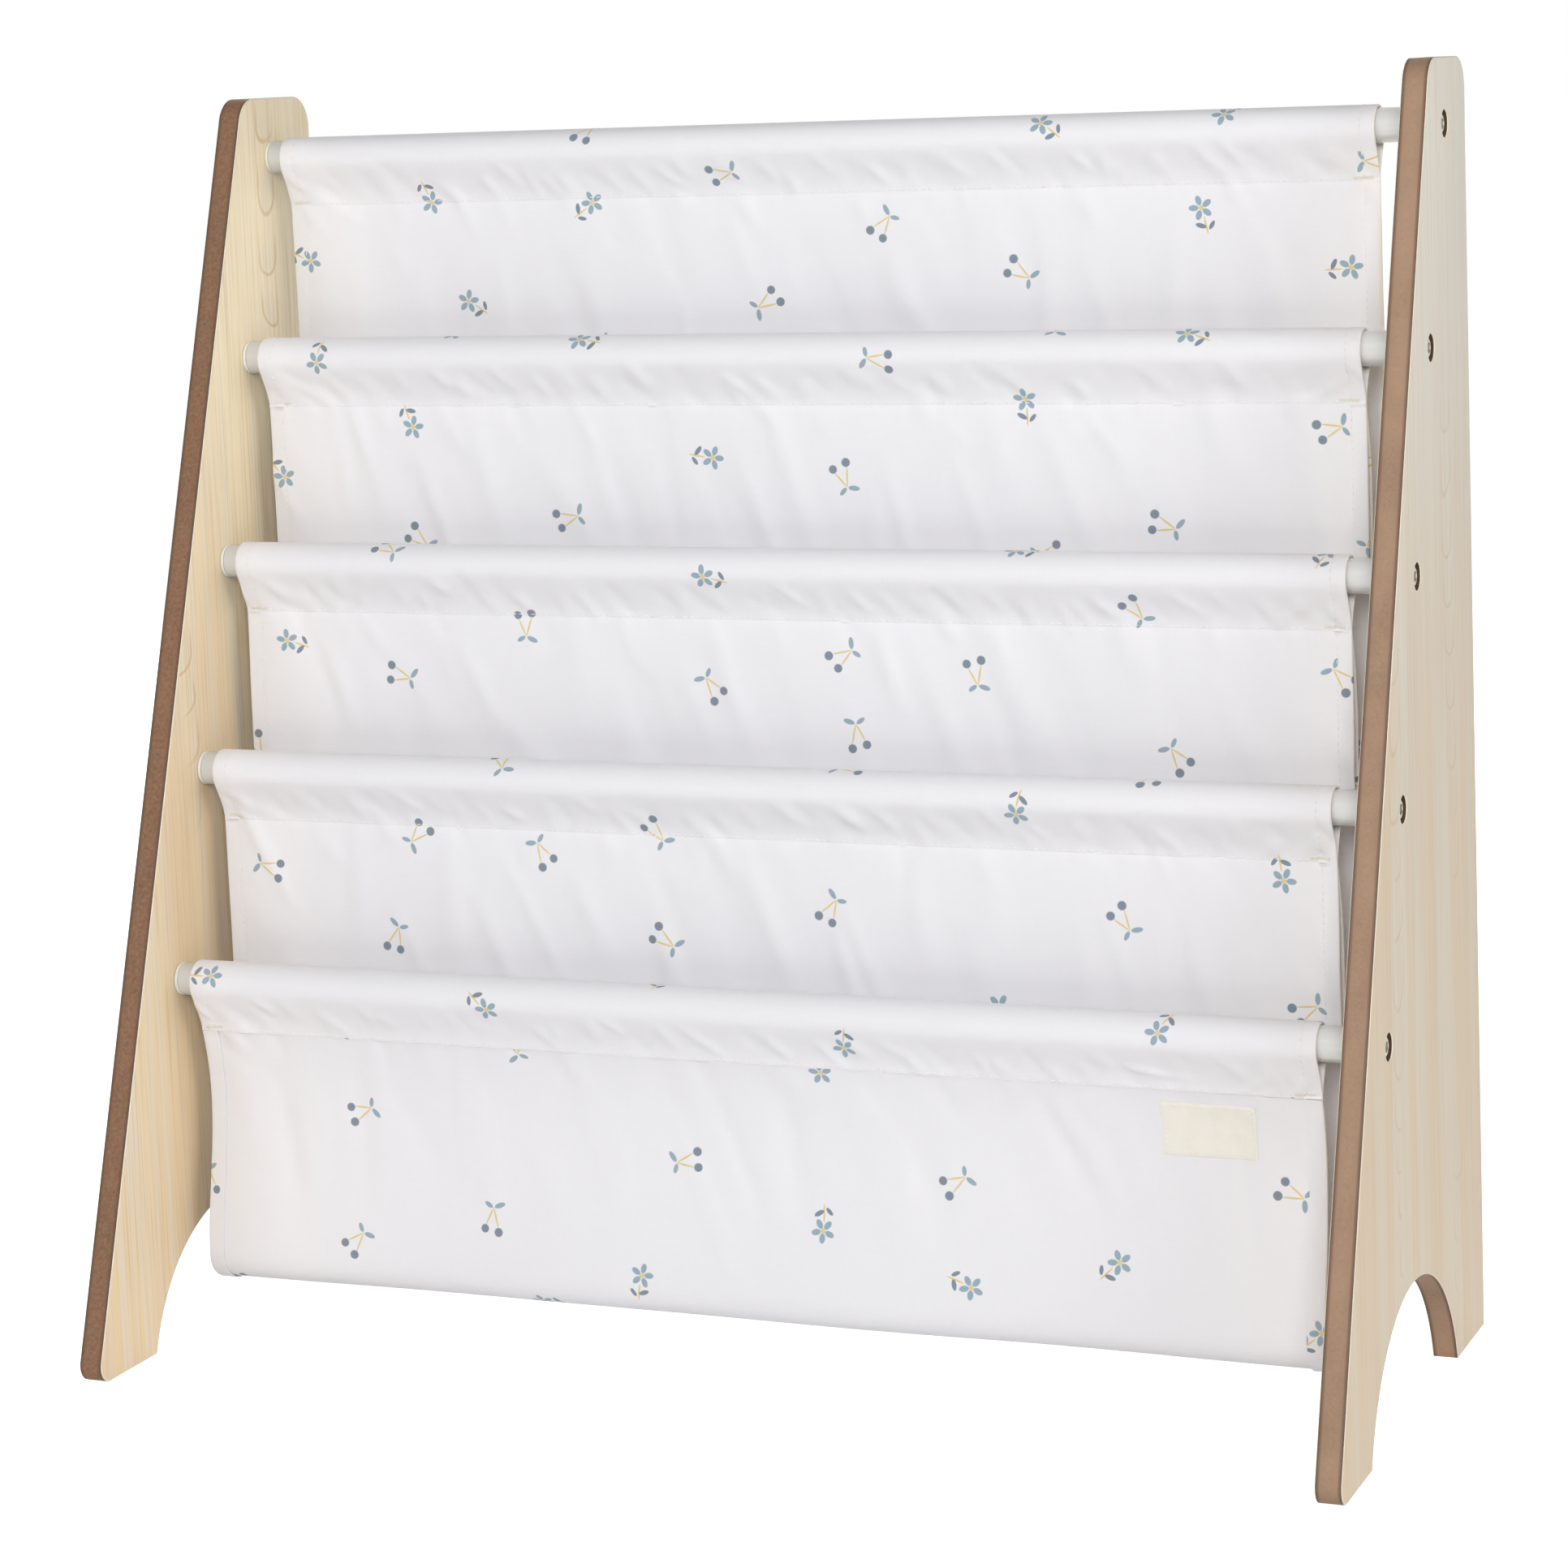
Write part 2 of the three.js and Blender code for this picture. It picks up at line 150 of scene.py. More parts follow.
class TubeSettings(bpy.types.PropertyGroup):
    wall: size_property("Wall", "Wall thickness of the steel tubes", 1.2 * MM)
    lip: size_property("Lip", "Rounding of a tube's cut end", 0.3 * MM)
    flange: size_property("Plug Flange", "Thickness of a plug's flange", 1.5 * MM)
    plug_bore: size_property("Plug Bore", "Bore that takes the bolt", 6.6 * MM)
    plug_ring: size_property("Plug Ring", "Height of the rings that grip the tube", 0.5 * MM)
    head_diameter: size_property("Bolt Head", "Diameter of a bolt's head", 10 * MM)
    head_height: size_property("Bolt Head Height", "Height of a bolt's head", 4 * MM)
    thread_pitch: size_property("Thread Pitch", "Distance from thread to thread", 1 * MM)
    thread_diameter: size_property("Thread Diameter", "Outer diameter of the thread", 6 * MM)
    socket_width: size_property("Socket Width", "Width across the flats of the socket", 5 * MM)
    socket_depth: size_property("Socket Depth", "Depth of the hexagon socket", 2.4 * MM)
    dome: size_property("Dome", "How far the rim of a bolt's head is rounded", 2.3 * MM)
    paint: colour_property("Paint", "Powder coat of the tubes", "#D1D3D3")
    paint_dust: colour_property("Paint Dust", "Fine dust on the powder coat", "#C9C8BE")
    plastic: colour_property("Plastic", "Moulded plastic of the plugs", "#E6E7E2")
    zinc: colour_property("Zinc", "Zinc plating of the bolts", "#E2DFD2")
    zinc_marks: colour_property("Zinc Marks", "Die marks in the plating", "#ABA89B")


class ClothSettings(bpy.types.PropertyGroup):
    solid_ply: size_property("Solid Ply", "Thickness of the frame's solid cloth", 1.2 * MM)
    seat_gap: size_property("Seat Gap", "Gap that resting solids keep in the frame", 0.3 * MM)
    ply: size_property("Ply", "Thickness of one ply of the canvas", 0.55 * MM)
    hem: size_property("Hem", "Width of the side hems", 8 * MM)
    hem_gap: size_property("Hem Gap", "Distance between the plies of a flat hem", 0.8 * MM)
    hem_gape: size_property("Hem Gape", "Widest opening of the slack hem by the top pocket", 4.6 * MM)
    sleeve_ease: size_property("Sleeve Ease", "Room between a tube and its sleeve", 1.2 * MM)
    pocket_depth: size_property("Pocket Depth", "Drop from a tube to the foot of its pocket", 150.5 * MM)
    turn_rise: size_property("Turn Rise", "Height of the turn at a pocket's foot", 14 * MM)
    inner_belly: size_property("Inner Belly", "Swell of the pockets behind", -2.5 * MM)
    front_belly: size_property("Front Belly", "Swell of the lowest pocket", 4 * MM)
    waist: size_property("Waist", "How far a pocket's front wall leans back", 14 * MM)
    waist_share: share_property("Waist Share", "Height of that waist on the wall", 0.38)
    belly_share: share_property("Belly Share", "Height of the swell on the wall", 0.3)
    fold_reach: size_property("Fold Reach", "Swing of the soft folds", 2.4 * MM)
    fold_growth: size_property("Fold Growth", "Drop over which the folds grow", 45 * MM)
    wide_fold: size_property("Wide Fold", "Spacing of the wide folds", 283 * MM)
    narrow_fold: size_property("Narrow Fold", "Spacing of the narrow folds", 166 * MM)
    narrow_share: share_property("Narrow Share", "Share of the narrow folds", 0.45)
    slant_share: share_property("Slant Share", "Slant of the folds", 0.35)
    thread: size_property("Thread", "Diameter of the sewing thread", 0.45 * MM)
    stitch: size_property("Stitch", "Length of a stitch", 2.5 * MM)
    stitch_pitch: size_property("Stitch Pitch", "Distance from stitch to stitch", 3.3 * MM)
    label_thickness: size_property("Label Thickness", "Thickness of the folded label", 0.5 * MM)
    canvas: colour_property("Canvas", "Ground colour of the cloth", "#E9E8EB")
    slub: colour_property("Slub", "Thicker threads in the cloth", "#D3D0D1")
    thread_colour: colour_property("Thread Colour", "Colour of the seams' thread", "#ECEAEB")
    # Painted shade between the thread's plies
    thread_shade: colour_property("Thread Shade", "Between the plies of the thread", "#C9C0B6")
    tack_colour: colour_property("Tack Colour", "Colour of the bar tacks", "#E6DFD0")
    petal: colour_property("Petal", "Blue-grey of the print", "#8AA3B0")
    slate: colour_property("Slate", "Darker slate of the print", "#6E7F8E")
    ochre: colour_property("Ochre", "Ochre of the print", "#DEC684")
    tape: colour_property("Tape", "Woven tape of the label", "#EFEBE2")
    tape_mottle: colour_property("Tape Mottle", "Uneven patches of the tape", "#E2DAC6")


class StageSettings(bpy.types.PropertyGroup):
    sky: share_property("Sky", "Strength of the light from all round", 0.15)
    key_power: power_property("Key Power", "Power of the main lamp, beside the camera", 42.5)
    side_power: power_property("Side Power", "Power of the lamp at the right", 19)
    left_power: power_property("Left Power", "Power of the lamp at the left", 14)
    rear_power: power_property("Rear Power", "Power of the lamp behind, at the left", 40)
    floor_colour: colour_property("Floor Colour", "Colour of the studio floor", "#F4F4F4")
    floor_mottle: colour_property("Floor Mottle", "Uneven patches of the floor", "#F1F1F1")


SETTINGS = {
    "bookshelf_boards": BoardSettings,
    "bookshelf_tubes": TubeSettings,
    "bookshelf_cloth": ClothSettings,
    "bookshelf_stage": StageSettings,
}


# Helpers for materials, meshes and pieces


def connect(node, inputs):
    """Links a node's inputs, or sets them."""
    for socket, value in inputs.items():
        if isinstance(value, bpy.types.NodeSocket):
            node.id_data.links.new(value, node.inputs[socket])
        else:
            node.inputs[socket].default_value = value


def add_node(tree, kind, inputs=None, output=0, **settings):
    """Adds a shader node, sets it up, connects it, and gives one of its outputs."""
    node = tree.nodes.new(f"ShaderNode{kind}")
    for name, value in settings.items():
        setattr(node, name, value)
    connect(node, inputs or {})
    return node.outputs[output]


def new_material(name):
    """A new material, and the function that adds a node to it."""
    material = bpy.data.materials.new(name)
    material.use_nodes = True
    return material, functools.partial(add_node, material.node_tree)


def finish(material, inputs):
    """Connects a material's own shader."""
    connect(material.node_tree.nodes["Principled BSDF"], inputs)
    return material


def tinted(node, ground, *layers):
    """Lays tones over a ground: each begins at one value and is at its strongest at another."""
    for tone, value, begin, full, strength in layers:
        limits = {"Value": value, "From Min": begin, "From Max": full, "To Max": strength}
        share = node("MapRange", limits)
        ground = node("Mix", {0: share, 6: ground, 7: tone}, 2, data_type="RGBA")
    return ground


def add_piece(name, mesh, materials, nodes=()):
    """Puts a mesh in the scene as a piece that rides on the frame."""
    piece = bpy.data.objects.new(name, mesh)
    bpy.context.scene.collection.objects.link(piece)
    for material in materials:
        mesh.materials.append(material)
    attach(piece, "root")
    if nodes:
        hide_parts(*nodes)
    return piece


def finished_mesh(name, points, faces, sharp_degrees):
    """A smooth-shaded mesh whose edges turn sharp above an angle."""
    mesh = bpy.data.meshes.new(name)
    mesh.from_pydata(np.asarray(points).tolist(), [], faces)
    mesh.shade_smooth()
    mesh.set_sharp_from_angle(angle=math.radians(sharp_degrees))
    mesh.validate()
    return mesh


def ring_faces(rings, sides, closed=False):
    """Faces from each ring of points to the next one, and from the last to the first if closed."""
    faces = []
    for ring in range(rings if closed else rings - 1):
        here, there = ring * sides, (ring + 1) % rings * sides
        for side in range(sides):
            after = (side + 1) % sides
            faces.append((here + side, here + after, there + after, there + side))
    return faces


def turned_points(profile, sides):
    """Rings of points round the X axis, from [place along X, radius] pairs."""
    angles = np.arange(sides) * 2 * math.pi / sides
    return np.array(
        [(along, r * math.cos(angle), r * math.sin(angle)) for along, r in profile for angle in angles]
    )


def end_fitting_mesh(name, points, faces, box, side, sharp_degrees):
    """A fitting drawn from its outer end along X, set in its box at the left or the right."""
    low, high = box
    middle = (low + high) / 2
    outer_end = high.x if side > 0 else low.x
    points = points * np.array((-side, 1, 1)) + np.array((outer_end, middle.y, middle.z))
    if side > 0:
        faces = [face[::-1] for face in faces]
    return finished_mesh(name, points, faces, sharp_degrees)


def rounded_corner(start, corner, end, steps=4):
    """Points of a soft corner from start to end, drawn in towards the corner."""
    shares = np.linspace(0, 1, steps + 1)[:, None]
    start, corner, end = (np.array(point) for point in (start, corner, end))
    return ((1 - shares) ** 2 * start + 2 * shares * (1 - shares) * corner + shares**2 * end).tolist()


def box_centre(node):
    low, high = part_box(node)
    return (low + high) / 2


# Side boards


def add_corner(outline, before, corner, after, radius, steps=24):
    """Adds the arc of a rounded corner to an outline in Y and Z."""
    to_before = (before - corner).normalized()
    to_after = (after - corner).normalized()
    half = to_before.angle(to_after) / 2
    centre = corner + (to_before + to_after).normalized() * (radius / math.sin(half))
    start = corner + to_before * (radius / math.tan(half)) - centre
    turn = math.pi - 2 * half
    for step in range(steps + 1):
        outline.append(centre + Matrix.Rotation(turn * step / steps, 2) @ start)


def board_outline(settings, back, height):
    """The board's outline, walked from its toe along the floor, the arch, the heel and the top."""
    toe = Vector((back - settings.floor_depth, 0))
    heel = Vector((back, 0))
    top_back = Vector((back, height))
    top_front = Vector((back - settings.top_depth, height))
    arch_middle = back - settings.floor_depth / 2
    half_span = settings.arch_span / 2
    arch_radius = (half_span**2 + settings.arch_rise**2) / (2 * settings.arch_rise)
    arch_centre = Vector((arch_middle, settings.arch_rise - arch_radius))
    arch_angle = math.asin(half_span / arch_radius)
    outline = []
    add_corner(outline, top_front, toe, heel, settings.toe_radius)
    steps = 56
    for step in range(steps + 1):
        angle = arch_angle * (2 * step / steps - 1)
        outline.append(arch_centre + arch_radius * Vector((math.sin(angle), math.cos(angle))))
    outline.append(heel)
    add_corner(outline, heel, top_back, top_front, settings.corner_radius)
    add_corner(outline, top_back, top_front, toe, settings.corner_radius)
    return outline


def inset_outline(outline, inset):
    """The outline drawn in towards its inside by an even distance."""
    drawn_in = []
    for index, point in enumerate(outline):
        before, after = outline[index - 1], outline[(index + 1) % len(outline)]
        into = (point - before).normalized().orthogonal()
        out_of = (after - point).normalized().orthogonal()
        middle = (into + out_of).normalized()
        drawn_in.append(point + middle * (inset / middle.dot(into)))
    return drawn_in


def side_board_mesh(name, settings, side, low, high, hole_centres):
    """One board: laminate faces, an eased border, a cut edge, and the stepped bolt holes."""
    outer_laminate, inner_laminate, laminate_border, cut_edge, drilled = range(5)
    thickness = high.x - low.x
    outer_face = high.x if side > 0 else low.x
    outline = board_outline(settings, high.y, high.z)
    bm = bmesh.new()
    # A layer for the painted shade line beside the laminate
    shade_layer = bm.verts.layers.float.new("edge_burn")

    def add_loop(points, depth, shade_band=0.0):
        """Places a loop of Y and Z points at a depth below the outer face."""
        verts = [bm.verts.new((outer_face - side * depth, p.x, p.y)) for p in points]
        for vert in verts:
            vert[shade_layer] = shade_band
        return verts

    def join(loop, other, material):
        for index, vert in enumerate(loop):
            after = (index + 1) % len(loop)
            face = bm.faces.new((vert, loop[after], other[after], other[index]))
            face.material_index = material
            face.smooth = True

    def circle(centre, radius, sides=48):
        angles = (2 * math.pi * step / sides for step in range(sides))
        return [centre + radius * Vector((math.cos(a), math.sin(a))) for a in angles]

    def fill(loops, material):
        edges = [
            bm.edges.get((loop[index - 1], vert)) or bm.edges.new((loop[index - 1], vert))
            for loop in loops
            for index, vert in enumerate(loop)
        ]
        made = bmesh.ops.triangle_fill(bm, use_beauty=True, edges=edges)
        for face in (item for item in made["geom"] if isinstance(item, bmesh.types.BMFace)):
            face.material_index = material
            face.smooth = False

    # Loops across the edge: how far in, how deep, how much painted shade, and the material up to the
    # next one
    # The cut edge is painted darker beside each laminate: a painted shadow line
    laminate, arris, shade_band = settings.laminate, settings.arris, settings.shade_line_width
    eased, round_off = arris * 0.35, laminate * 0.25
    fading, deeply_shaded = shade_band * 0.4, 0.75
    across = [
        (arris, 0.0, 0.0, laminate_border),
        (eased, round_off, 0.0, laminate_border),
        (0.0, laminate, 1.0, cut_edge),
        (0.0, laminate + fading, deeply_shaded, cut_edge),
        (0.0, laminate + shade_band, 0.12, cut_edge),
        (0.0, thickness / 2, 0.0, cut_edge),
        (0.0, thickness - laminate - shade_band, 0.12, cut_edge),
        (0.0, thickness - laminate - fading, deeply_shaded, cut_edge),
        (0.0, thickness - laminate, 1.0, laminate_border),
        (eased, thickness - round_off, 0.0, laminate_border),
        (arris, thickness, 0.0, inner_laminate),
    ]
    loops = [add_loop(inset_outline(outline, inset), depth, shade_band) for inset, depth, shade_band, _ in across]
    for index, (loop, after) in enumerate(zip(loops, loops[1:])):
        join(loop, after, across[index][3])

    recess_loops, hole_loops = [], []
    recess, hole = settings.recess_diameter / 2, settings.hole_diameter / 2
    for centre in hole_centres:
        mouth = add_loop(circle(centre, recess + laminate), 0.0)
        throat = add_loop(circle(centre, recess), laminate)
        floor = add_loop(circle(centre, recess), settings.recess_depth)
        hole_top = add_loop(circle(centre, hole), settings.recess_depth)
        hole_foot = add_loop(circle(centre, hole), thickness)
        join(mouth, throat, laminate_border)
        for loop, after in ((throat, floor), (floor, hole_top), (hole_top, hole_foot)):
            join(loop, after, drilled)
        recess_loops.append(mouth)
        hole_loops.append(hole_foot)
    fill([loops[0], *recess_loops], outer_laminate)
    fill([loops[-1], *hole_loops], inner_laminate)
    bmesh.ops.recalc_face_normals(bm, faces=bm.faces)
    mesh = bpy.data.meshes.new(name)
    bm.to_mesh(mesh)
    bm.free()
    mesh.set_sharp_from_angle(angle=math.radians(28))
    return mesh


def maple_laminate(settings, name, ground, top, figured):
    """Maple-print laminate, pressed on and satin: soft bands, fine grain, a few small arches, and
    painted light that makes it paler towards the top.
    """
    material, node = new_material(name)
    place = node("TexCoord", output="Object")
    apart = node("SeparateXYZ", {0: place}).node.outputs
    # Noises by their width and length in mm and their detail. They change little through the
    # board's thickness. The grain is a little coarser than the print's, so that it shows.
    through = 31
    noises = {
        "bands": (8, 320, 3.0),
        "tint": (26, 500, 1.0),
        "grain": (1.3, 90, 2.0),
        "wander": (70, 90, 1.0),
        "patches": (40, 120, 1.0),
    }
    for kind, (wide, long, detail) in noises.items():
        scale = (through, 1 / (wide * MM), 1 / (long * MM))
        stretched = node("Mapping", {"Vector": place, "Scale": scale})
        noises[kind] = node("TexNoise", {"Vector": stretched, "Scale": 1.0, "Detail": detail})

    # Thin arches, open above, stand one over the other on two hearts, and sway with the noise
    radius, spacing, line = 8 * MM, 27 * MM, 1 * MM
    sway = {0: noises["wander"], 1: 14 * MM, 2: apart["Y"]}
    swayed = node("Math", sway, operation="MULTIPLY_ADD")
    asides = []
    for heart in (91 * MM, -14 * MM):
        off = node("Math", {0: swayed, 1: heart}, operation="SUBTRACT")
        asides.append(node("Math", {0: off}, operation="ABSOLUTE"))
    nearest = node("Math", {0: asides[0], 1: asides[1]}, operation="MINIMUM")
    waver = {0: noises["wander"], 1: 50 * MM, 2: apart["Z"]}
    wavering = node("Math", waver, operation="MULTIPLY_ADD")
    rise = node("Math", {0: wavering, 1: spacing, 2: 0.0}, operation="WRAP")
    above = node("Math", {0: rise, 1: radius + line}, operation="SUBTRACT")
    below = node("Math", {0: above, 1: 0.0}, operation="MINIMUM")
    from_heart = node("CombineXYZ", {0: nearest, 1: below})
    reach = node("VectorMath", {0: from_heart}, "Value", operation="LENGTH")
    from_arch = node("Math", {0: reach, 1: radius}, operation="SUBTRACT")
    off_arch = node("Math", {0: from_arch}, operation="ABSOLUTE")

    # What each share follows, where it begins, where it is full, and its strength
    shares = {
        "lines": (off_arch, 1.5 * MM, 0.2 * MM, figured),
        "inside": (from_arch, 1 * MM, -3 * MM, figured),
        "open": (rise, 24 * MM, 9 * MM, 1.0),
        "patches": (noises["patches"], 0.42, 0.56, 1.0),
        "bands": (noises["bands"], 0.38, 0.62, 0.75),
        "tint": (noises["tint"], 0.4, 0.6, 0.48),
        "grain": (noises["grain"], 0.46, 0.72, 0.9 * figured),
        "foot": (apart["Z"], 300 * MM, 0, 0.22),
        # The top share is painted light: it pales the face towards the top
        "top": (apart["Z"], 220 * MM, 550 * MM, 0.75),
    }
    for kind, (value, begin, full, strength) in shares.items():
        limits = {"Value": value, "From Min": begin, "From Max": full, "To Max": strength}
        shares[kind] = node("MapRange", limits, interpolation_type="SMOOTHSTEP")
    for kind in ("lines", "inside"):
        for other in ("open", "patches"):
            shares[kind] = node("Math", {0: shares[kind], 1: shares[other]}, operation="MULTIPLY")
    tones = {
        "bands": settings.maple_pale,
        "tint": settings.maple_warm,
        "foot": settings.maple_warm,
        # The top tone is painted light
        "top": top,
        "inside": settings.maple_pale,
        "grain": settings.maple_grain,
        "lines": settings.maple_figure,
    }
    colour = ground
    for kind, tone in tones.items():
        colour = node("Mix", {0: shares[kind], 6: colour, 7: tone}, 2, data_type="RGBA")
    pores = node("Bump", {"Strength": 0.12, "Distance": 0.1 * MM, "Height": noises["grain"]})
    return finish(material, {"Base Color": colour, "Roughness": 0.5, "IOR": 1.5, "Normal": pores})


def laminate_border(settings):
    """The laminate's own cut: a paler line where the router eased it, made paler still as a painted
    highlight along the border.
    """
    material, node = new_material("maple_laminate_routed_border")
    mottle = node("TexNoise", {"Scale": 1 / (5 * MM), "Detail": 3.0})
    # Partly the laminate's cut, partly a painted highlight on the eased border
    tones = {6: settings.laminate_cut_and_highlight, 7: settings.maple_pale}
    colour = node("Mix", {0: mottle, **tones}, 2, data_type="RGBA")
    return finish(material, {"Base Color": colour, "Roughness": 0.55})


def cut_fibreboard(settings, name, ground):
    """Fibreboard, routed and sealed: felted brown fibre, a painted shade line beside the laminate, and
    pale knocks.
    """
    material, node = new_material(name)
    place = node("TexCoord", output="Object")
    # The felt of the fibres is 1.6 mm across, coarser than real fibre so that it shows
    felting = {"Vector": place, "Scale": 1 / (1.6 * MM), "Detail": 5.0, "Roughness": 0.65}
    felt = node("TexNoise", felting)
    cloud = node("TexNoise", {"Vector": place, "Scale": 1 / (26 * MM), "Detail": 3.0})
    # Painted shade: a shadow line drawn into the colour where the edge meets the laminate
    shade_band = node("Attribute", output="Fac", attribute_name="edge_burn")
    uneven = node("Math", {0: felt, 1: 0.5, 2: shade_band}, operation="MULTIPLY_ADD")
    # A few pale knocks, about 2 mm long, where the sealer came off
    shortened = node("Mapping", {"Vector": place, "Scale": (1.6, 1.6, 1)})
    knocks = node("TexVoronoi", {"Vector": shortened, "Scale": 1 / (34 * MM)}, "Distance")
    colour = tinted(
        node,
        ground,
        (settings.fibreboard_shade_and_mottle, cloud, 0.35, 0.7, 0.3),
        (settings.maple_grain, felt, 0.3, 0.75, 0.3),
        (settings.fibreboard_shade_and_mottle, uneven, 0.3, 1.2, 0.85),
        (settings.laminate_cut_and_highlight, knocks, 0.055, 0.025, 0.8),
    )
    rough = node("Bump", {"Strength": 0.35, "Distance": 0.15 * MM, "Height": felt})
    return finish(material, {"Base Color": colour, "Roughness": 0.72, "Normal": rough})


def drilled_fibreboard(settings):
    """Fibreboard, drilled and left raw: torn walls, dark from the raw fibre and from painted shade in
    the recess.
    """
    material, node = new_material("fibreboard_drilled_raw")
    torn = node("TexNoise", {"Scale": 1 / (0.9 * MM), "Detail": 4.0})
    # Darker walls: the raw fibre's brown and painted shade in the recess
    tones = {6: settings.drilled_wood_and_shade, 7: settings.fibreboard_shade_and_mottle}
    colour = node("Mix", {0: torn, **tones}, 2, data_type="RGBA")
    rough = node("Bump", {"Strength": 0.6, "Distance": 0.3 * MM, "Height": torn})
    return finish(material, {"Base Color": colour, "Roughness": 0.9, "Normal": rough})


class BOOKSHELF_OT_side_boards(bpy.types.Operator):
    """Builds the two side boards, with laminate faces, cut edges and bolt recesses"""

    bl_idname = "bookshelf.side_boards"
    bl_label = "Side Boards"

    def execute(self, context):
        settings = context.scene.bookshelf_boards
        border, drilled = laminate_border(settings), drilled_fibreboard(settings)
        holes = [Vector(box_centre(f"tube_{tube}").yz) for tube in TUBES]
        # The inner and outer faces get different grounds and top tones: painted light that differs
        # between the faces
        outer, inner = (
            maple_laminate(settings, f"maple_laminate_pressed_{face}", ground, top, figured)
            for face, ground, top, figured in (
                ("outer", settings.outer_maple, settings.outer_top_painted_light, 0.24),
                ("inner", settings.inner_maple_bounce_lit, settings.inner_top_painted_light, 0.42),
            )
        )
        # The left edge's darker ground is painted shade and the right edge's paler ground painted light
        fibres = {"left": settings.left_fibreboard_shaded, "right": settings.right_fibreboard_lit}
        for name, side in SIDES.items():
            node = f"{name}_side_board"
            edge = cut_fibreboard(settings, f"fibreboard_routed_{name}", fibres[name])
            mesh = side_board_mesh(f"{name}_board", settings, side, *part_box(node), holes)
            materials = [outer, inner, border, edge, drilled]
            add_piece(f"{name}_board", mesh, materials, [node])
        return {"FINISHED"}


# Tubes, plugs and bolts


def powder_coat(settings):
    """Steel, powder-coated white: satin gloss with a faint orange peel."""
    material, node = new_material("steel_powder_coated_white")
    peel = node("TexNoise", {"Scale": 1 / (1.8 * MM), "Detail": 2.0})
    dust = node("TexNoise", {"Scale": 1 / (12 * MM), "Detail": 4.0})
    colour = tinted(node, settings.paint, (settings.paint_dust, dust, 0.45, 0.8, 0.12))
    bump = node("Bump", {"Strength": 0.12, "Distance": 0.05 * MM, "Height": peel})
    gloss = {"Roughness": 0.32, "Coat Weight": 0.8, "Coat Roughness": 0.08}
    return finish(material, {"Base Color": colour, "Normal": bump, **gloss})


def moulded_plastic(settings):
    """Polyethylene, injection-moulded: milky white with a soft sheen."""
    material, node = new_material("polyethylene_moulded_white")
    grain = node("TexNoise", {"Scale": 1 / (0.7 * MM), "Detail": 2.0})
    roughness = node("MapRange", {"Value": grain, "To Min": 0.38, "To Max": 0.52})
    milky = {"Subsurface Weight": 0.1, "Subsurface Scale": 1 * MM}
    return finish(material, {"Base Color": settings.plastic, "Roughness": roughness, **milky})


def plated_steel(settings):
    """Steel, forged and zinc-plated: pale warm grey with fine die marks."""
    material, node = new_material("steel_zinc_plated")
    marks = node("TexNoise", {"Scale": 1 / (0.8 * MM), "Detail": 4.0})
    tones = {6: settings.zinc, 7: settings.zinc_marks}
    colour = node("Mix", {0: marks, **tones}, 2, data_type="RGBA")
    roughness = node("MapRange", {"Value": marks, "To Min": 0.32, "To Max": 0.5})
    return finish(material, {"Base Color": colour, "Roughness": roughness, "Metallic": 1.0})


class BOOKSHELF_OT_tubes(bpy.types.Operator):
    """Builds the five painted tubes"""

    bl_idname = "bookshelf.tubes"
    bl_label = "Tubes"

    def execute(self, context):
        settings = context.scene.bookshelf_tubes
        paint = powder_coat(settings)
        sides = 72
        for tube in TUBES:
            low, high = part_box(f"tube_{tube}")
            half, outer = (high.x - low.x) / 2, (high.z - low.z) / 2
            inner, lip = outer - settings.wall, settings.lip
            end = rounded_corner((half - lip, outer), (half, outer), (half, outer - lip))
            end += rounded_corner((half, inner + lip), (half, inner), (half - lip, inner))
            profile = [(-along, radius) for along, radius in reversed(end)] + end
            points = turned_points(profile, sides) + np.array((low + high) / 2)
            faces = ring_faces(len(profile), sides, closed=True)
            mesh = finished_mesh(f"steel_tube_{tube}", points, faces, 35)
            add_piece(f"steel_tube_{tube}", mesh, [paint], [f"tube_{tube}"])
        return {"FINISHED"}


def plug_mesh(name, settings, box, side, tube_bore):
    """A plug with a soft-edged flange and three rings, pointing into its tube."""
    low, high = box
    length, radius = high.x - low.x, (high.z - low.z) / 2
    bore, flange, ring = settings.plug_bore / 2, settings.flange, settings.plug_ring
    clearance, edge, rings = 0.3 * MM, 0.35 * MM, 3
    neck, tail, tip = 2 * MM, 2 * MM, 1 * MM
    crest = tube_bore / 2 - clearance
    foot = crest - ring
    profile = rounded_corner((0, radius - edge), (0, radius), (edge, radius))
    profile += rounded_corner((flange - edge, radius), (flange, radius), (flange, radius - edge))
    profile.append((flange, foot))
    # Each ring rises steeply from its foot and falls off gently towards the plug's tip
    pitch = (length - flange - neck - tail) / rings
    for count in range(rings):
        start = flange + neck + pitch * count
        profile += [(start, foot), (start + pitch * 0.25, crest), (start + pitch * 0.8, foot)]
    profile += [(length - tip, foot - ring), (length, foot - 2 * ring), (length, bore), (0, bore)]
    sides = 64
    faces = ring_faces(len(profile), sides, closed=True)
    return end_fitting_mesh(name, turned_points(profile, sides), faces, box, side, 40)


class BOOKSHELF_OT_tube_plugs(bpy.types.Operator):
    """Builds the plastic plug in each tube end"""

    bl_idname = "bookshelf.tube_plugs"
    bl_label = "Tube Plugs"

    def execute(self, context):
        settings = context.scene.bookshelf_tubes
        plastic = moulded_plastic(settings)
        low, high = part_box("tube_1")
        tube_bore = high.z - low.z - 2 * settings.wall
        for tube in TUBES:
            for name, side in SIDES.items():
                node, piece = f"{name}_tube_plug_{tube}", f"{name}_end_plug_{tube}"
                mesh = plug_mesh(piece, settings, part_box(node), side, tube_bore)
                add_piece(piece, mesh, [plastic], [node])
        return {"FINISHED"}


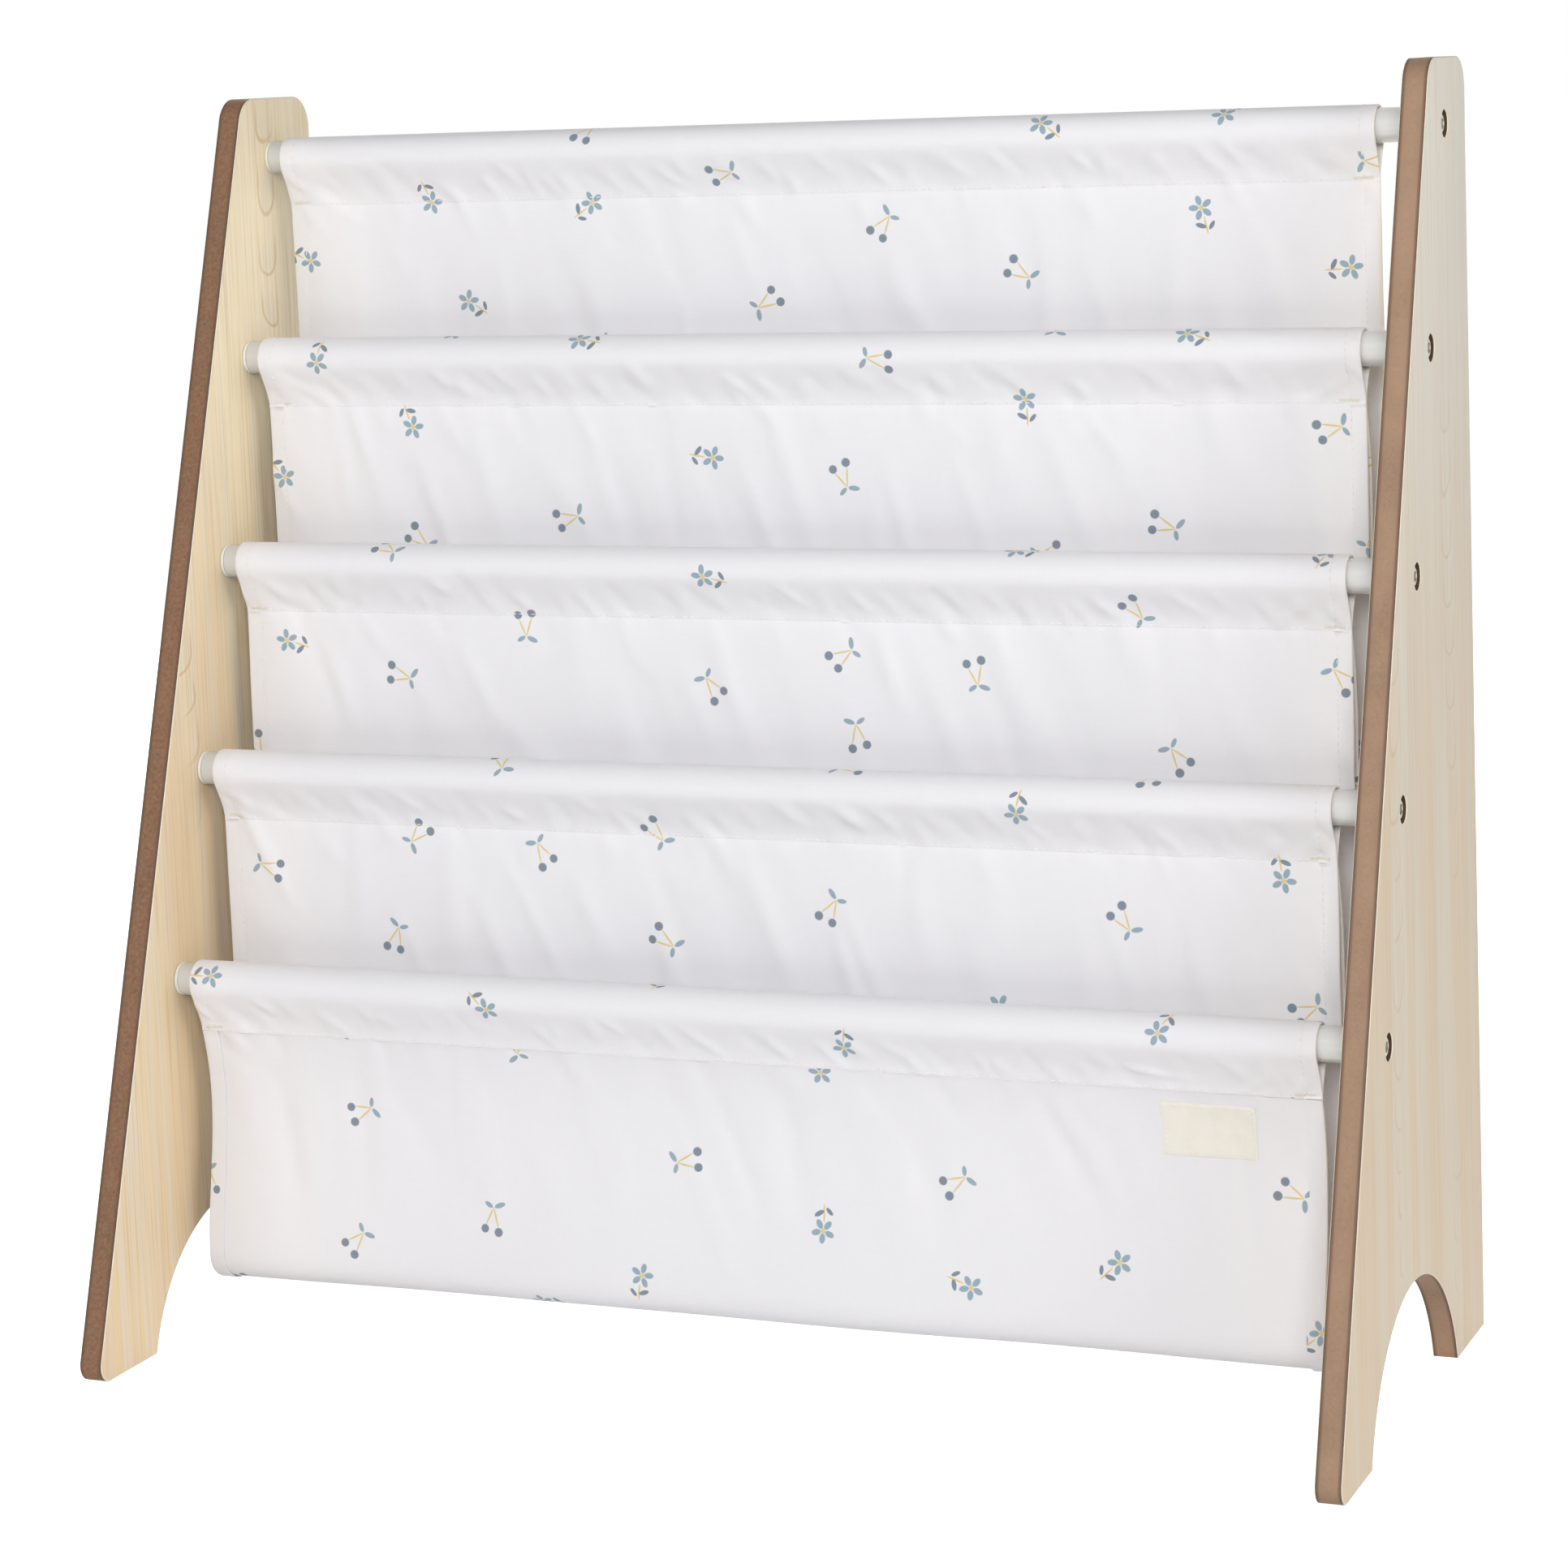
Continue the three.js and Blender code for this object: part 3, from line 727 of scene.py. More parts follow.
def bolt_mesh(name, settings, box, side):
    """A bolt with a hexagon socket, a domed head and a thread drawn as rings."""
    length = box[1].x - box[0].x
    sides = 48
    head, height = settings.head_diameter / 2, settings.head_height
    major, pitch = settings.thread_diameter / 2, settings.thread_pitch
    minor = major - 0.55 * pitch
    dome, under_edge, neck, tail = settings.dome, 0.2 * MM, 1.5 * MM, 1.5 * MM
    profile = rounded_corner((0, head - dome), (0, head), (dome, head), 8)
    profile += [(height - under_edge, head), (height, head - under_edge), (height, major)]
    for thread in range(int((length - height - neck - tail) / pitch)):
        start = height + neck + thread * pitch
        profile += [(start, major), (start + pitch / 2, minor)]
    chamfer, chamfer_rise, middle = 0.8 * MM, 1 * MM, 0.01 * MM
    profile += [(length - chamfer, major), (length, major - chamfer_rise), (length, middle)]
    outside = turned_points(profile, sides)

    flat, lead_in, cone = settings.socket_width / 2, 0.25 * MM, 0.8 * MM
    angles = np.arange(sides) * 2 * math.pi / sides
    hexagon = flat / np.cos((angles + math.pi / 6) % (math.pi / 3) - math.pi / 6)
    socket_rings = [
        (-flat * 0.97, settings.socket_depth + cone),
        (0.0, settings.socket_depth),
        (0.0, lead_in),
        (lead_in, 0.0),
    ]
    inside = [
        (depth, (radius + grow) * math.cos(angle), (radius + grow) * math.sin(angle))
        for grow, depth in socket_rings
        for angle, radius in zip(angles, hexagon)
    ]
    points = np.concatenate([np.array(inside), outside])
    faces = ring_faces(len(points) // sides, sides)
    faces.append(tuple(range(sides))[::-1])
    faces.append(tuple(range(len(points) - sides, len(points))))
    return end_fitting_mesh(name, points, faces, box, side, 35)


class BOOKSHELF_OT_bolts(bpy.types.Operator):
    """Builds the ten socket-head bolts"""

    bl_idname = "bookshelf.bolts"
    bl_label = "Bolts"

    def execute(self, context):
        settings = context.scene.bookshelf_tubes
        steel = plated_steel(settings)
        for tube in TUBES:
            for name, side in SIDES.items():
                node, piece = f"{name}_bolt_{tube}", f"{name}_hex_bolt_{tube}"
                mesh = bolt_mesh(piece, settings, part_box(node), side)
                add_piece(piece, mesh, [steel], [node])
        return {"FINISHED"}


# Cloth: one long strip, from the back of the top sleeve to the front of the lowest one

# The spacing of the sheets' rows, and how far they crowd towards the seams
ROWS = {"sleeve": (1.35 * MM, 0.2), "pocket": (2.9 * MM, 0.55)}


def arc_lengths(points):
    steps = np.linalg.norm(np.diff(points, axis=0), axis=1)
    return np.concatenate([[0.0], np.cumsum(steps)])


def evenly_placed(points, spacing, crowding):
    """Stations along a line of points, crowded towards its ends, where the seams are."""
    lengths = arc_lengths(points)
    shares = np.linspace(0, 1, round(lengths[-1] / spacing) + 1)
    shares = shares - crowding * np.sin(2 * math.pi * shares) / (2 * math.pi)
    stations = shares * lengths[-1]
    placed = np.stack([np.interp(stations, lengths, points[:, axis]) for axis in (0, 1)], axis=1)
    return placed, stations


def curve_points(controls, count=80):
    """Points of a cubic Bezier curve."""
    shares = np.linspace(0, 1, count)[:, None]
    first, second, third, last = (np.array(point) for point in controls)
    rest = 1 - shares
    ends = rest**3 * first + shares**3 * last
    return ends + 3 * rest * shares * (rest * second + shares * third)


class ClothFrame:
    """Where the frame's tubes, seams and cloth edges are, and the strip's length up to each part."""

    def __init__(self, settings):
        self.settings = settings
        low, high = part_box("rod_sleeve_1")
        self.left, self.right = low.x, high.x
        self.edges = ((low.x, 1), (high.x, -1))
        self.width = high.x - low.x
        self.flat_width = self.width + 2 * settings.hem
        self.stitched = settings.hem - 1.2 * MM
        self.centres = {tube: box_centre(f"tube_{tube}") for tube in TUBES}
        tube_low, tube_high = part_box("tube_1")
        self.tube_radius = (tube_high.z - tube_low.z) / 2
        self.seam_drop = self.centres[1].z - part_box("pocket_sling_1")[1].z
        # The single ply lies on the printed side of the solid cloth, with its hems behind it
        self.inset = (settings.solid_ply - settings.ply) / 2
        self.ply_offset = (settings.solid_ply + settings.seat_gap) / 2
        self.seam_offset = settings.ply / 2 + 0.04 * MM
        self.starts, self.lengths = {}, {}
        reached = 0.0
        for tube in TUBES:
            for part, profile in (("sleeve", self.sleeve_profile), ("pocket", self.pocket_profile)):
                if (part, tube) != ("pocket", TUBE_COUNT):
                    self.starts[part, tube] = reached
                    self.lengths[part, tube] = arc_lengths(profile(tube))[-1]
                    reached += self.lengths[part, tube]
        self.creases = drawn_creases(self)

    def front_seam(self, tube):
        """How far along the strip the front of a sleeve meets its seam."""
        return self.starts["sleeve", tube] + self.lengths["sleeve", tube]

    def sleeve_profile(self, tube):
        """From the seam up behind the tube, over it and down its front, pressed flat at the seam."""
        settings = self.settings
        radius = self.tube_radius + settings.sleeve_ease + settings.solid_ply / 2 + self.inset
        foot = np.array((self.seam_offset, -self.seam_drop))
        centre = np.array((0.0, settings.seat_gap - settings.sleeve_ease))
        to_foot = foot - centre
        touch = math.atan2(to_foot[1], to_foot[0]) + math.acos(radius / np.linalg.norm(to_foot))
        angles = np.linspace(touch, math.pi - touch, 90)
        arc = centre + radius * np.stack([np.cos(angles), np.sin(angles)], axis=1)
        # The cloth leaves the tube straight on, and stands upright where it is sewn
        leaving = arc[0] + 4.5 * MM * np.array((math.sin(touch), -math.cos(touch)))
        upright = foot + np.array((0, 6 * MM))
        rear = curve_points([foot, upright, leaving, arc[0]])
        front = rear[::-1] * np.array((-1, 1))
        place = self.centres[tube]
        return np.concatenate([rear[:-1], arc, front[1:]]) + np.array((place.y, place.z))

    def pocket_profile(self, pocket):
        """Down from the upper seam, round the turn, and up to the lower seam in an S."""
        settings = self.settings
        upper, lower = self.centres[pocket], self.centres[pocket + 1]
        belly = settings.front_belly if pocket == TUBE_COUNT - 1 else settings.inner_belly
        back, front = upper.y - self.seam_offset, lower.y + self.seam_offset
        turn_top = lower.z - settings.pocket_depth + settings.turn_rise
        turn_front = lower.y + self.ply_offset - belly + self.inset
        front_top = lower.z - self.seam_drop
        rise = front_top - turn_top
        wall = np.array([(back, upper.z - self.seam_drop), (back, turn_top)])
        angles = np.linspace(0, math.pi, 90)
        across = (back + turn_front) / 2 + (back - turn_front) / 2 * np.cos(angles)
        down = turn_top - (settings.turn_rise - self.inset) * np.sin(angles)
        swell = (turn_front, turn_top + rise * settings.belly_share)
        waist = (front + settings.waist, front_top - rise * settings.waist_share)
        climb = curve_points([(turn_front, turn_top), swell, waist, (front, front_top)])
        return np.concatenate([wall, np.stack([across, down], axis=1)[1:], climb[1:]])

    def fold(self, tube, across, height):
        """How far the cloth that hangs from a tube swings in its soft folds."""
        settings = self.settings
        shifts = (0.05, 0.4, 0.72, 0.2, 0.55)
        drop = np.maximum(self.centres[tube].z - self.seam_drop - height, 0)
        growth = drop / (drop + settings.fold_growth)
        along = across + settings.slant_share * drop
        shift = shifts[(tube - 1) % len(shifts)]
        wide = np.sin(2 * math.pi * (along / settings.wide_fold + shift))
        narrow = np.sin(2 * math.pi * (along / settings.narrow_fold + 2 * shift))
        mixed = (1 - settings.narrow_share) * wide + settings.narrow_share * narrow
        return settings.fold_reach * growth * mixed

    def swing(self, part, number, across, y, z):
        """The folds' swing in Y: a pocket shares the folds of the tubes behind and before it."""
        if part == "sleeve":
            return 0.0
        back = self.centres[number].y - self.ply_offset
        front = self.centres[number + 1].y + self.ply_offset
        to_front = np.clip((back - y) / (back - front), 0, 1)
        behind, before = (self.fold(tube, across, z) for tube in (number, number + 1))
        return (1 - to_front) * behind + to_front * before


def drawn_creases(cloth):
    """Soft creases as rows of across, along, slant, half length, half width and height."""
    creases = []
    # Each kind by its count, its drop from the seam, slant in degrees, half length, half width and
    # height. The sleeves' creases are short and steep, and the pockets hang in longer, softer folds.
    kinds = {
        "sleeve": (44, (-17, -5), (30, 9), (8, 15), (2.0, 3.4), (0.5, 1.15)),
        "seam": (16, (-4, 14), (24, 10), (12, 28), (2.8, 5.5), (0.35, 0.9)),
        "pocket": (24, (14, 70), (17, 8), (28, 60), (3.6, 8), (0.5, 1.2)),
    }
    for tube in TUBES:
        pick = random.Random(40 + tube)
        seam = cloth.front_seam(tube)
        walls = [(seam, 1.0, kinds)]
        if tube == TUBE_COUNT:
            walls = [(seam, 1.0, ["sleeve"]), (cloth.starts["sleeve", tube], -1.0, ["seam", "pocket"])]
        for base, down, made in walls:
            for kind in made:
                count, drop, slant, half_length, half_width, height = kinds[kind]
                for strewn in range(count):
                    creases.append(
                        (
                            cloth.left + cloth.width * (strewn + pick.random()) / count,
                            base + down * pick.uniform(*drop) * MM,
                            down * math.radians(pick.gauss(*slant)),
                            pick.uniform(*half_length) * MM,
                            pick.uniform(*half_width) * MM,
                            pick.choice((-1, 1, 1)) * pick.uniform(*height) * MM,
                        )
                    )
            # Three creases fan out from each end of the seam
            for edge, lean in cloth.edges:
                for fan in range(3):
                    creases.append(
                        (
                            edge + lean * (9 + 9 * fan) * MM,
                            base + down * pick.uniform(-9, 3) * MM,
                            down * lean * math.radians(38 + 9 * fan + pick.uniform(-5, 5)),
                            pick.uniform(16, 26) * MM,
                            pick.uniform(2.5, 4.0) * MM,
                            pick.uniform(0.4, 0.8) * MM,
                        )
                    )
    # A pinch at the left of sleeve 3 and a slack line on sleeve 5 stand out
    for tube, across, along, slant, half_length, half_width, height in (
        (3, -230, -13, -16, 24, 2.4, 1.1),
        (3, -222, -10, -12, 20, 3.2, -0.6),
        (5, 197, -9, 79, 22, 1.9, 0.9),
    ):
        sizes = (half_length * MM, half_width * MM, height * MM)
        creases.append((across * MM, cloth.front_seam(tube) + along * MM, math.radians(slant), *sizes))
    return creases


def crease_heights(creases, across, along):
    """Height of all the creases over a grid of places on the strip."""
    low, high = along.min(), along.max()
    total = np.zeros_like(across)
    for place, station, slant, half_length, half_width, height in creases:
        if low - half_length < station < high + half_length:
            right, down = across - place, along - station
            run = (right * math.sin(slant) + down * math.cos(slant)) / half_length
            off = (right * math.cos(slant) - down * math.sin(slant)) / half_width
            near = np.clip(1 - run**2, 0, None) ** 2
            total += height * near * np.exp(-(off**2))
    return np.maximum(total, -0.45 * MM)


def column_shares(width, hem):
    """Shares of the width for a sheet's columns, close together beside the hems."""
    close, wide = 0.9 * MM, 2.4 * MM
    fine = np.arange(0, 1.5 * hem, close) / width
    count = round(width * (1 - 2 * fine[-1]) / wide) + 1
    coarse = np.linspace(fine[-1], 1 - fine[-1], count)
    return np.concatenate([fine[:-1], coarse, (1 - fine[::-1])[1:]])


class ClothSheet:
    """One part of the strip as a grid of middle points, with its hems turned under behind it."""

    def __init__(self, cloth, part, number):
        self.cloth, self.part, self.number = cloth, part, number
        profile = cloth.sleeve_profile(number) if part == "sleeve" else cloth.pocket_profile(number)
        placed, self.stations = evenly_placed(profile, *ROWS[part])
        self.rows, self.length = len(self.stations), self.stations[-1]
        tangent = np.gradient(placed, self.stations, axis=0)
        tangent /= np.linalg.norm(tangent, axis=1)[:, None]
        normal = np.stack([tangent[:, 1], -tangent[:, 0]], axis=1)

        # The grid's columns, as (across, depth behind, place on the flat cloth)
        left_gape, right_gape = self.gapes()
        start, end = cloth.left + left_gape / 2, cloth.right - right_gape / 2
        columns = self.hem_columns(cloth.left, 1, left_gape)
        hem_count = len(columns)
        for share in column_shares(cloth.width, cloth.settings.hem):
            x = start + (end - start) * share
            columns.append((x, np.zeros_like(x), x))
        self.main_columns = slice(hem_count, len(columns))
        columns += self.hem_columns(cloth.right, -1, right_gape)[::-1]
        across, behind, flat = (np.stack(places, axis=1) for places in zip(*columns))

        strip = np.broadcast_to((cloth.starts[part, number] + self.stations)[:, None], across.shape)
        creased = crease_heights(cloth.creases, across, strip) * self.crease_share()[:, None]
        off = creased + self.seam_marks(across) - behind
        y, z = (placed[:, axis, None] + off * normal[:, axis, None] for axis in (0, 1))
        y = y + cloth.swing(part, number, across, y, z)
        self.middle = np.stack([across, y, z], axis=2)
        self.flat = np.stack([flat, strip, np.zeros_like(flat)], axis=2)
        face = np.cross(np.gradient(self.middle, axis=0), np.gradient(self.middle, axis=1))
        self.normal = face / np.linalg.norm(face, axis=2)[:, :, None]

    def hem_columns(self, edge, lean, gape):
        """The columns of the turned-under ply and of the fold, from the inside to the edge."""
        settings = self.cloth.settings
        columns = []
        for share in np.linspace(1, 0, 5, endpoint=False):
            eased = share * share * (3 - 2 * share)
            across = edge + lean * (gape / 2 + share * (settings.hem - gape / 2))
            depth = gape + (settings.hem_gap - gape) * eased
            columns.append((across, depth, edge - lean * (gape / 2 + share * settings.hem)))
        for turn in np.linspace(math.pi, 0, 6, endpoint=False):
            across = edge + lean * (gape / 2 - gape / 2 * math.sin(turn))
            depth = gape / 2 * (1 - math.cos(turn))
            columns.append((across, depth, edge - lean * gape / 2 * (turn / math.pi)))
        return columns

    def gapes(self):
        """How far the hems stand open. The right one of the top pocket's back wall is slack."""
        settings = self.cloth.settings
        flat = np.full_like(self.stations, settings.hem_gap)
        if self.part == "pocket":
            flat *= 1.25 + 0.25 * np.sin(9 * self.stations / self.length + self.number)
        slack = flat
        if (self.part, self.number) == ("pocket", 1):
            swell = np.sin(math.pi * np.clip(self.stations / (190 * MM), 0, 1)) ** 1.2
            slack = flat + (settings.hem_gape - settings.hem_gap) * swell
        return flat, slack

    def crease_share(self):
        """Creases fade where the cloth lies on its tube and where it is stitched to another ply."""
        if self.part == "pocket":
            return np.ones_like(self.stations)
        from_top = self.stations - self.length / 2
        on_tube = np.exp(-((from_top / (11 * MM)) ** 4))
        return (1 - 0.75 * on_tube) * np.where(from_top < 0, 0.4, 1.0)

    def seam_marks(self, across):
        """The grooves and puckers that the seams and the hem stitching draw in the cloth."""
        stations = self.stations[:, None]
        seam_pucker = sum(np.sin(2 * math.pi * across / (pitch * MM)) for pitch in (7.3, 11.9))
        hem_pucker = np.sin(2 * math.pi * stations / (6.6 * MM) + self.number)
        # Each line of stitches by the distance to it, its groove's depth and width, and its pucker
        # with the reach of it, in mm
        from_seams = (stations, self.length - stations)
        seams = [(distance, 0.18, 1.3, seam_pucker, 5) for distance in from_seams]
        hems = [
            (np.abs(across - edge - lean * self.cloth.stitched), 0.14, 0.9, hem_pucker, 3.5)
            for edge, lean in self.cloth.edges
        ]
        marks = np.zeros_like(across)
        for distance, depth, width, pucker, reach in seams + hems:
            marks -= depth * MM * np.exp(-((distance / (width * MM)) ** 2))
            marks += 0.07 * MM * pucker * np.exp(-distance / (reach * MM))
        return marks

    def mesh(self, name):
        """The sheet's mesh, one ply thick."""
        half = self.normal * self.cloth.settings.ply / 2
        return sheet_mesh(name, self.middle + half, self.middle - half, self.flat)

    def surface(self, across, station, printed=1.0):
        """Points and outward normals on a face of the cloth, at places across and along it."""
        across, station = np.broadcast_arrays(across, station)
        row = np.interp(station, self.stations, np.arange(self.rows))
        middle = self.middle[:, self.main_columns]
        normal = self.normal[:, self.main_columns]
        above = np.clip(row.astype(int), 0, self.rows - 2)
        down = (row - above)[..., None]
        lines = middle[above, :, 0].reshape(-1, middle.shape[1])
        found = [np.interp(x, line, np.arange(len(line))) for x, line in zip(across.ravel(), lines)]
        column = np.array(found).reshape(across.shape)
        first = np.clip(column.astype(int), 0, middle.shape[1] - 2)
        right = (column - first)[..., None]

        def between(grid):
            upper = grid[above, first] * (1 - right) + grid[above, first + 1] * right
            lower = grid[above + 1, first] * (1 - right) + grid[above + 1, first + 1] * right
            return upper * (1 - down) + lower * down

        normals = between(normal)
        normals = printed * normals / np.linalg.norm(normals, axis=-1)[..., None]
        return between(middle) + normals * self.cloth.settings.ply / 2, normals


def sheet_mesh(name, front, rear, flat):
    """The closed mesh between two grids of points, with its place on the flat cloth."""
    rows, columns, _ = front.shape
    grid = np.arange(rows * columns).reshape(rows, columns)
    under = grid + grid.size
    rim = np.concatenate([grid[:-1, 0], grid[-1, :-1], grid[:0:-1, -1], grid[0, :0:-1]])
    after = np.roll(rim, -1)
    corners = (
        (grid[:-1, :-1], grid[1:, :-1], grid[1:, 1:], grid[:-1, 1:]),
        (under[:-1, :-1], under[:-1, 1:], under[1:, 1:], under[1:, :-1]),
        (rim, rim + grid.size, after + grid.size, after),
    )
    faces = np.concatenate([np.stack(four, axis=-1).reshape(-1, 4) for four in corners])
    points = np.concatenate([front.reshape(-1, 3), rear.reshape(-1, 3)])
    mesh = finished_mesh(name, points, faces.tolist(), 50)
    layer = mesh.attributes.new("cloth_place", "FLOAT_VECTOR", "POINT")
    places = np.concatenate([flat.reshape(-1, 3)] * 2)
    layer.data.foreach_set("vector", places.astype(np.float32).ravel())
    return mesh


def stitches_mesh(name, points, normals, thread):
    """Stitches from rows of surface points: each rises out of the cloth and dips back into it."""
    count, stops, _ = points.shape
    rise = np.array([-0.7, 0.1, 0.45, 0.1, -0.7])[:, None] * thread
    girth = np.array([0.55, 0.95, 1.0, 0.95, 0.55])[:, None] * thread / 2
    line = points + normals * rise
    along = np.gradient(line, axis=1)
    sideways = np.cross(along, normals)
    sideways /= np.linalg.norm(sideways, axis=2)[..., None]
    upward = np.cross(sideways, along)
    upward /= np.linalg.norm(upward, axis=2)[..., None]
    sides = 6
    rings = []
    for side in range(sides):
        angle = 2 * math.pi * side / sides
        rings.append(line + girth * (math.cos(angle) * sideways + math.sin(angle) * upward))
    points = np.stack(rings, axis=2).reshape(-1, 3)
    starts = np.arange(count) * stops * sides
    one = np.array(ring_faces(stops, sides))
    faces = (one[None] + starts[:, None, None]).reshape(-1, 4).tolist()
    for start in starts.tolist():
        faces.append(tuple(range(start + sides - 1, start - 1, -1)))
        last = start + (stops - 1) * sides
        faces.append(tuple(range(last, last + sides)))
    return finished_mesh(name, points, faces, 60)


def stitch_row(sheet, start, end, length, pitch, printed=1.0):
    """A row of stitches from one (across, along) place of a sheet to another."""
    start, end = np.array(start), np.array(end)
    distance = np.linalg.norm(end - start)
    count = max(int(distance / pitch), 1)
    firsts = (np.arange(count) + 0.5) * distance / count
    stops = np.clip(firsts[:, None] + np.linspace(-0.5, 0.5, 5) * length, 0, distance)
    places = start + (stops / distance)[..., None] * (end - start)
    return sheet.surface(places[..., 0], places[..., 1], printed)


def sheet_rows(sheet):
    """The stitches down both hems and, on a sleeve, along its seam on the back and on the front."""
    cloth, inset, from_seam = sheet.cloth, 2 * MM, 1.2 * MM
    ends = []
    for edge, lean in cloth.edges:
        across = edge + lean * cloth.stitched
        ends.append(((across, inset), (across, sheet.length - inset)))
    if sheet.part == "sleeve":
        for station in (from_seam, sheet.length - from_seam):
            ends.append(((cloth.left + inset, station), (cloth.right - inset, station)))
    sizes = (cloth.settings.stitch, cloth.settings.stitch_pitch)
    return [stitch_row(sheet, start, end, *sizes) for start, end in ends]


def bar_tack(sheet, edge, lean):
    """A bar tack where hem and seam meet: short stitches packed side by side."""
    across = edge + lean * (3 * MM + np.arange(13) * 0.72 * MM)
    stops = sheet.length - 2.2 * MM + np.linspace(-1.1, 1.1, 5) * MM
    return sheet.surface(across[:, None], stops)


def add_stitching(name, rows, material, settings):
    points, normals = (np.concatenate(parts) for parts in zip(*rows))
    mesh = stitches_mesh(name, points, normals, settings.thread)
    return add_piece(name, mesh, [material])


def printed_canvas(name, settings):
    """Canvas, plain-woven and screen-printed: matt white cloth with a scattered ditsy print."""
    material, node = new_material(name)
    place = node("Attribute", output="Vector", attribute_name="cloth_place")
    in_mm = node("VectorMath", {0: place, "Scale": 1 / MM}, operation="SCALE")
    apart = node("SeparateXYZ", {0: in_mm}).node.outputs

    # The print's repeat: cells of 76 by 68 mm in a half drop, with one motif thrown into each
    wide, high = 76.0, 68.0
    column = node("Math", {0: apart["X"], 1: wide}, operation="DIVIDE")
    column_number = node("Math", {0: column}, operation="FLOOR")
    row = node("Math", {0: apart["Y"], 1: high}, operation="DIVIDE")
    dropped = node("Math", {0: column_number, 1: 0.5, 2: row}, operation="MULTIPLY_ADD")
    cells = node("CombineXYZ", {0: column, 1: dropped})
    cell_number = node("VectorMath", {0: cells}, operation="FLOOR")
    in_cell = node("VectorMath", {0: cells}, operation="FRACTION")
    thrown = node("TexWhiteNoise", {"Vector": cell_number}, noise_dimensions="3D").node.outputs
    # A motif lies within 17 mm of its cell's middle, so that none crosses a cell's border
    reach = 17
    spread = (2 * reach / wide, 2 * reach / high, 0)
    margin = (0.5 - reach / wide, 0.5 - reach / high, 0)
    chosen = {0: thrown["Color"], 1: spread, 2: margin}
    middle = node("VectorMath", chosen, operation="MULTIPLY_ADD")
    from_middle = node("VectorMath", {0: in_cell, 1: middle}, operation="SUBTRACT")
    local = node("VectorMath", {0: from_middle, 1: (wide, high, 0)}, operation="MULTIPLY")
    spin = node("Math", {0: thrown["Value"], 1: 2 * math.pi}, operation="MULTIPLY")
    turned = node("VectorRotate", {"Vector": local, "Angle": spin}, rotation_type="Z_AXIS")
    other_place = node("VectorMath", {0: cell_number, 1: (7.3, 2.1, 5.9)}, operation="ADD")
    kind = node("TexWhiteNoise", {"Vector": other_place}, "Value", noise_dimensions="3D")
    is_berry = node("Math", {0: kind, 1: 0.5}, operation="GREATER_THAN")

    # Motifs as ellipses: place, half sizes in mm and turn in degrees
    petals = []
    for turn in range(90, 450, 72):
        across, up = 3.5 * math.cos(math.radians(turn)), 3.5 * math.sin(math.radians(turn))
        petals.append((across, 2.8 + up, 2.4, 1.45, turn))
    blossom = {
        "petal": petals,
        "slate": [(2.8, -4.9, 2.7, 1.15, 35), (-2.2, -6.4, 2.3, 1.0, 140)],
        "ochre": [(0.0, 2.8, 1.2, 1.2, 0), (0.4, -5.4, 4.3, 0.5, 96)],
    }
    berries = {
        "petal": [(3.1, 6.8, 2.9, 1.25, 24), (-2.6, 6.5, 2.4, 1.1, 152)],
        "slate": [(-3.8, -5.0, 2.1, 2.1, 0), (3.5, -6.0, 2.2, 2.2, 0)],
        "ochre": [(-1.75, 1.1, 4.6, 0.48, 68), (1.65, 0.7, 5.1, 0.48, -71)],
    }

    def motif_mask(shapes):
        """Full inside any of the ellipses and 0 outside, with a soft ink edge."""
        nearest = None
        for x, y, half_long, half_short, turn in shapes:
            ellipse = {
                "Vector": turned,
                "Location": (x, y, 0),
                "Rotation": (0, 0, math.radians(turn)),
                "Scale": (half_long, half_short, 1),
            }
            mapped = node("Mapping", ellipse, vector_type="TEXTURE")
            distance = node("VectorMath", {0: mapped}, "Value", operation="LENGTH")
            both = {0: nearest, 1: distance}
            nearest = node("Math", both, operation="MINIMUM") if nearest else distance
        ink_edge = {"Value": nearest, "From Min": 1.08, "From Max": 0.86, "To Max": 0.92}
        return node("MapRange", ink_edge)

    # Slubs: threads that vary, 0.9 mm across, drawn coarser than the weave so that they show
    thick, long = 1 / 0.9, 1 / 14
    slubs = []
    for scale in ((thick, long, 1), (long, thick, 1)):
        stretched = node("VectorMath", {0: in_mm, 1: scale}, operation="MULTIPLY")
        slubs.append(node("TexNoise", {"Vector": stretched, "Scale": 1.0, "Detail": 2.0}))
    crossed = node("Math", {0: slubs[0], 1: slubs[1]}, operation="ADD")
    colour = tinted(node, settings.canvas, (settings.slub, crossed, 0.7, 1.3, 0.07))
    for ink in ("ochre", "slate", "petal"):
        flower, berry = motif_mask(blossom[ink]), motif_mask(berries[ink])
        mask = node("Mix", {0: is_berry, 2: flower, 3: berry}, data_type="FLOAT")
        colour = node("Mix", {0: mask, 6: colour, 7: getattr(settings, ink)}, 2, data_type="RGBA")

    # The weave: warp and weft 1.1 mm apart, twice as coarse as the real canvas so that it shows
    threads = []
    for axis in ("X", "Y"):
        phase = node("Math", {0: apart[axis], 1: 2 * math.pi / 1.1}, operation="MULTIPLY")
        threads.append(node("Math", {0: phase}, operation="SINE"))
    weave = node("Math", {0: threads[0], 1: threads[1]}, operation="MULTIPLY")
    height = node("Math", {0: crossed, 1: 0.8, 2: weave}, operation="MULTIPLY_ADD")
    bump = node("Bump", {"Strength": 0.12, "Distance": 0.05 * MM, "Height": height})
    matt = {"Roughness": 0.92, "Sheen Weight": 0.12, "Sheen Roughness": 0.5}
    return finish(material, {"Base Color": colour, "Normal": bump, **matt})


# A wave texture's stripes are this far apart at a scale of 1
WAVE_SPACING = 0.314


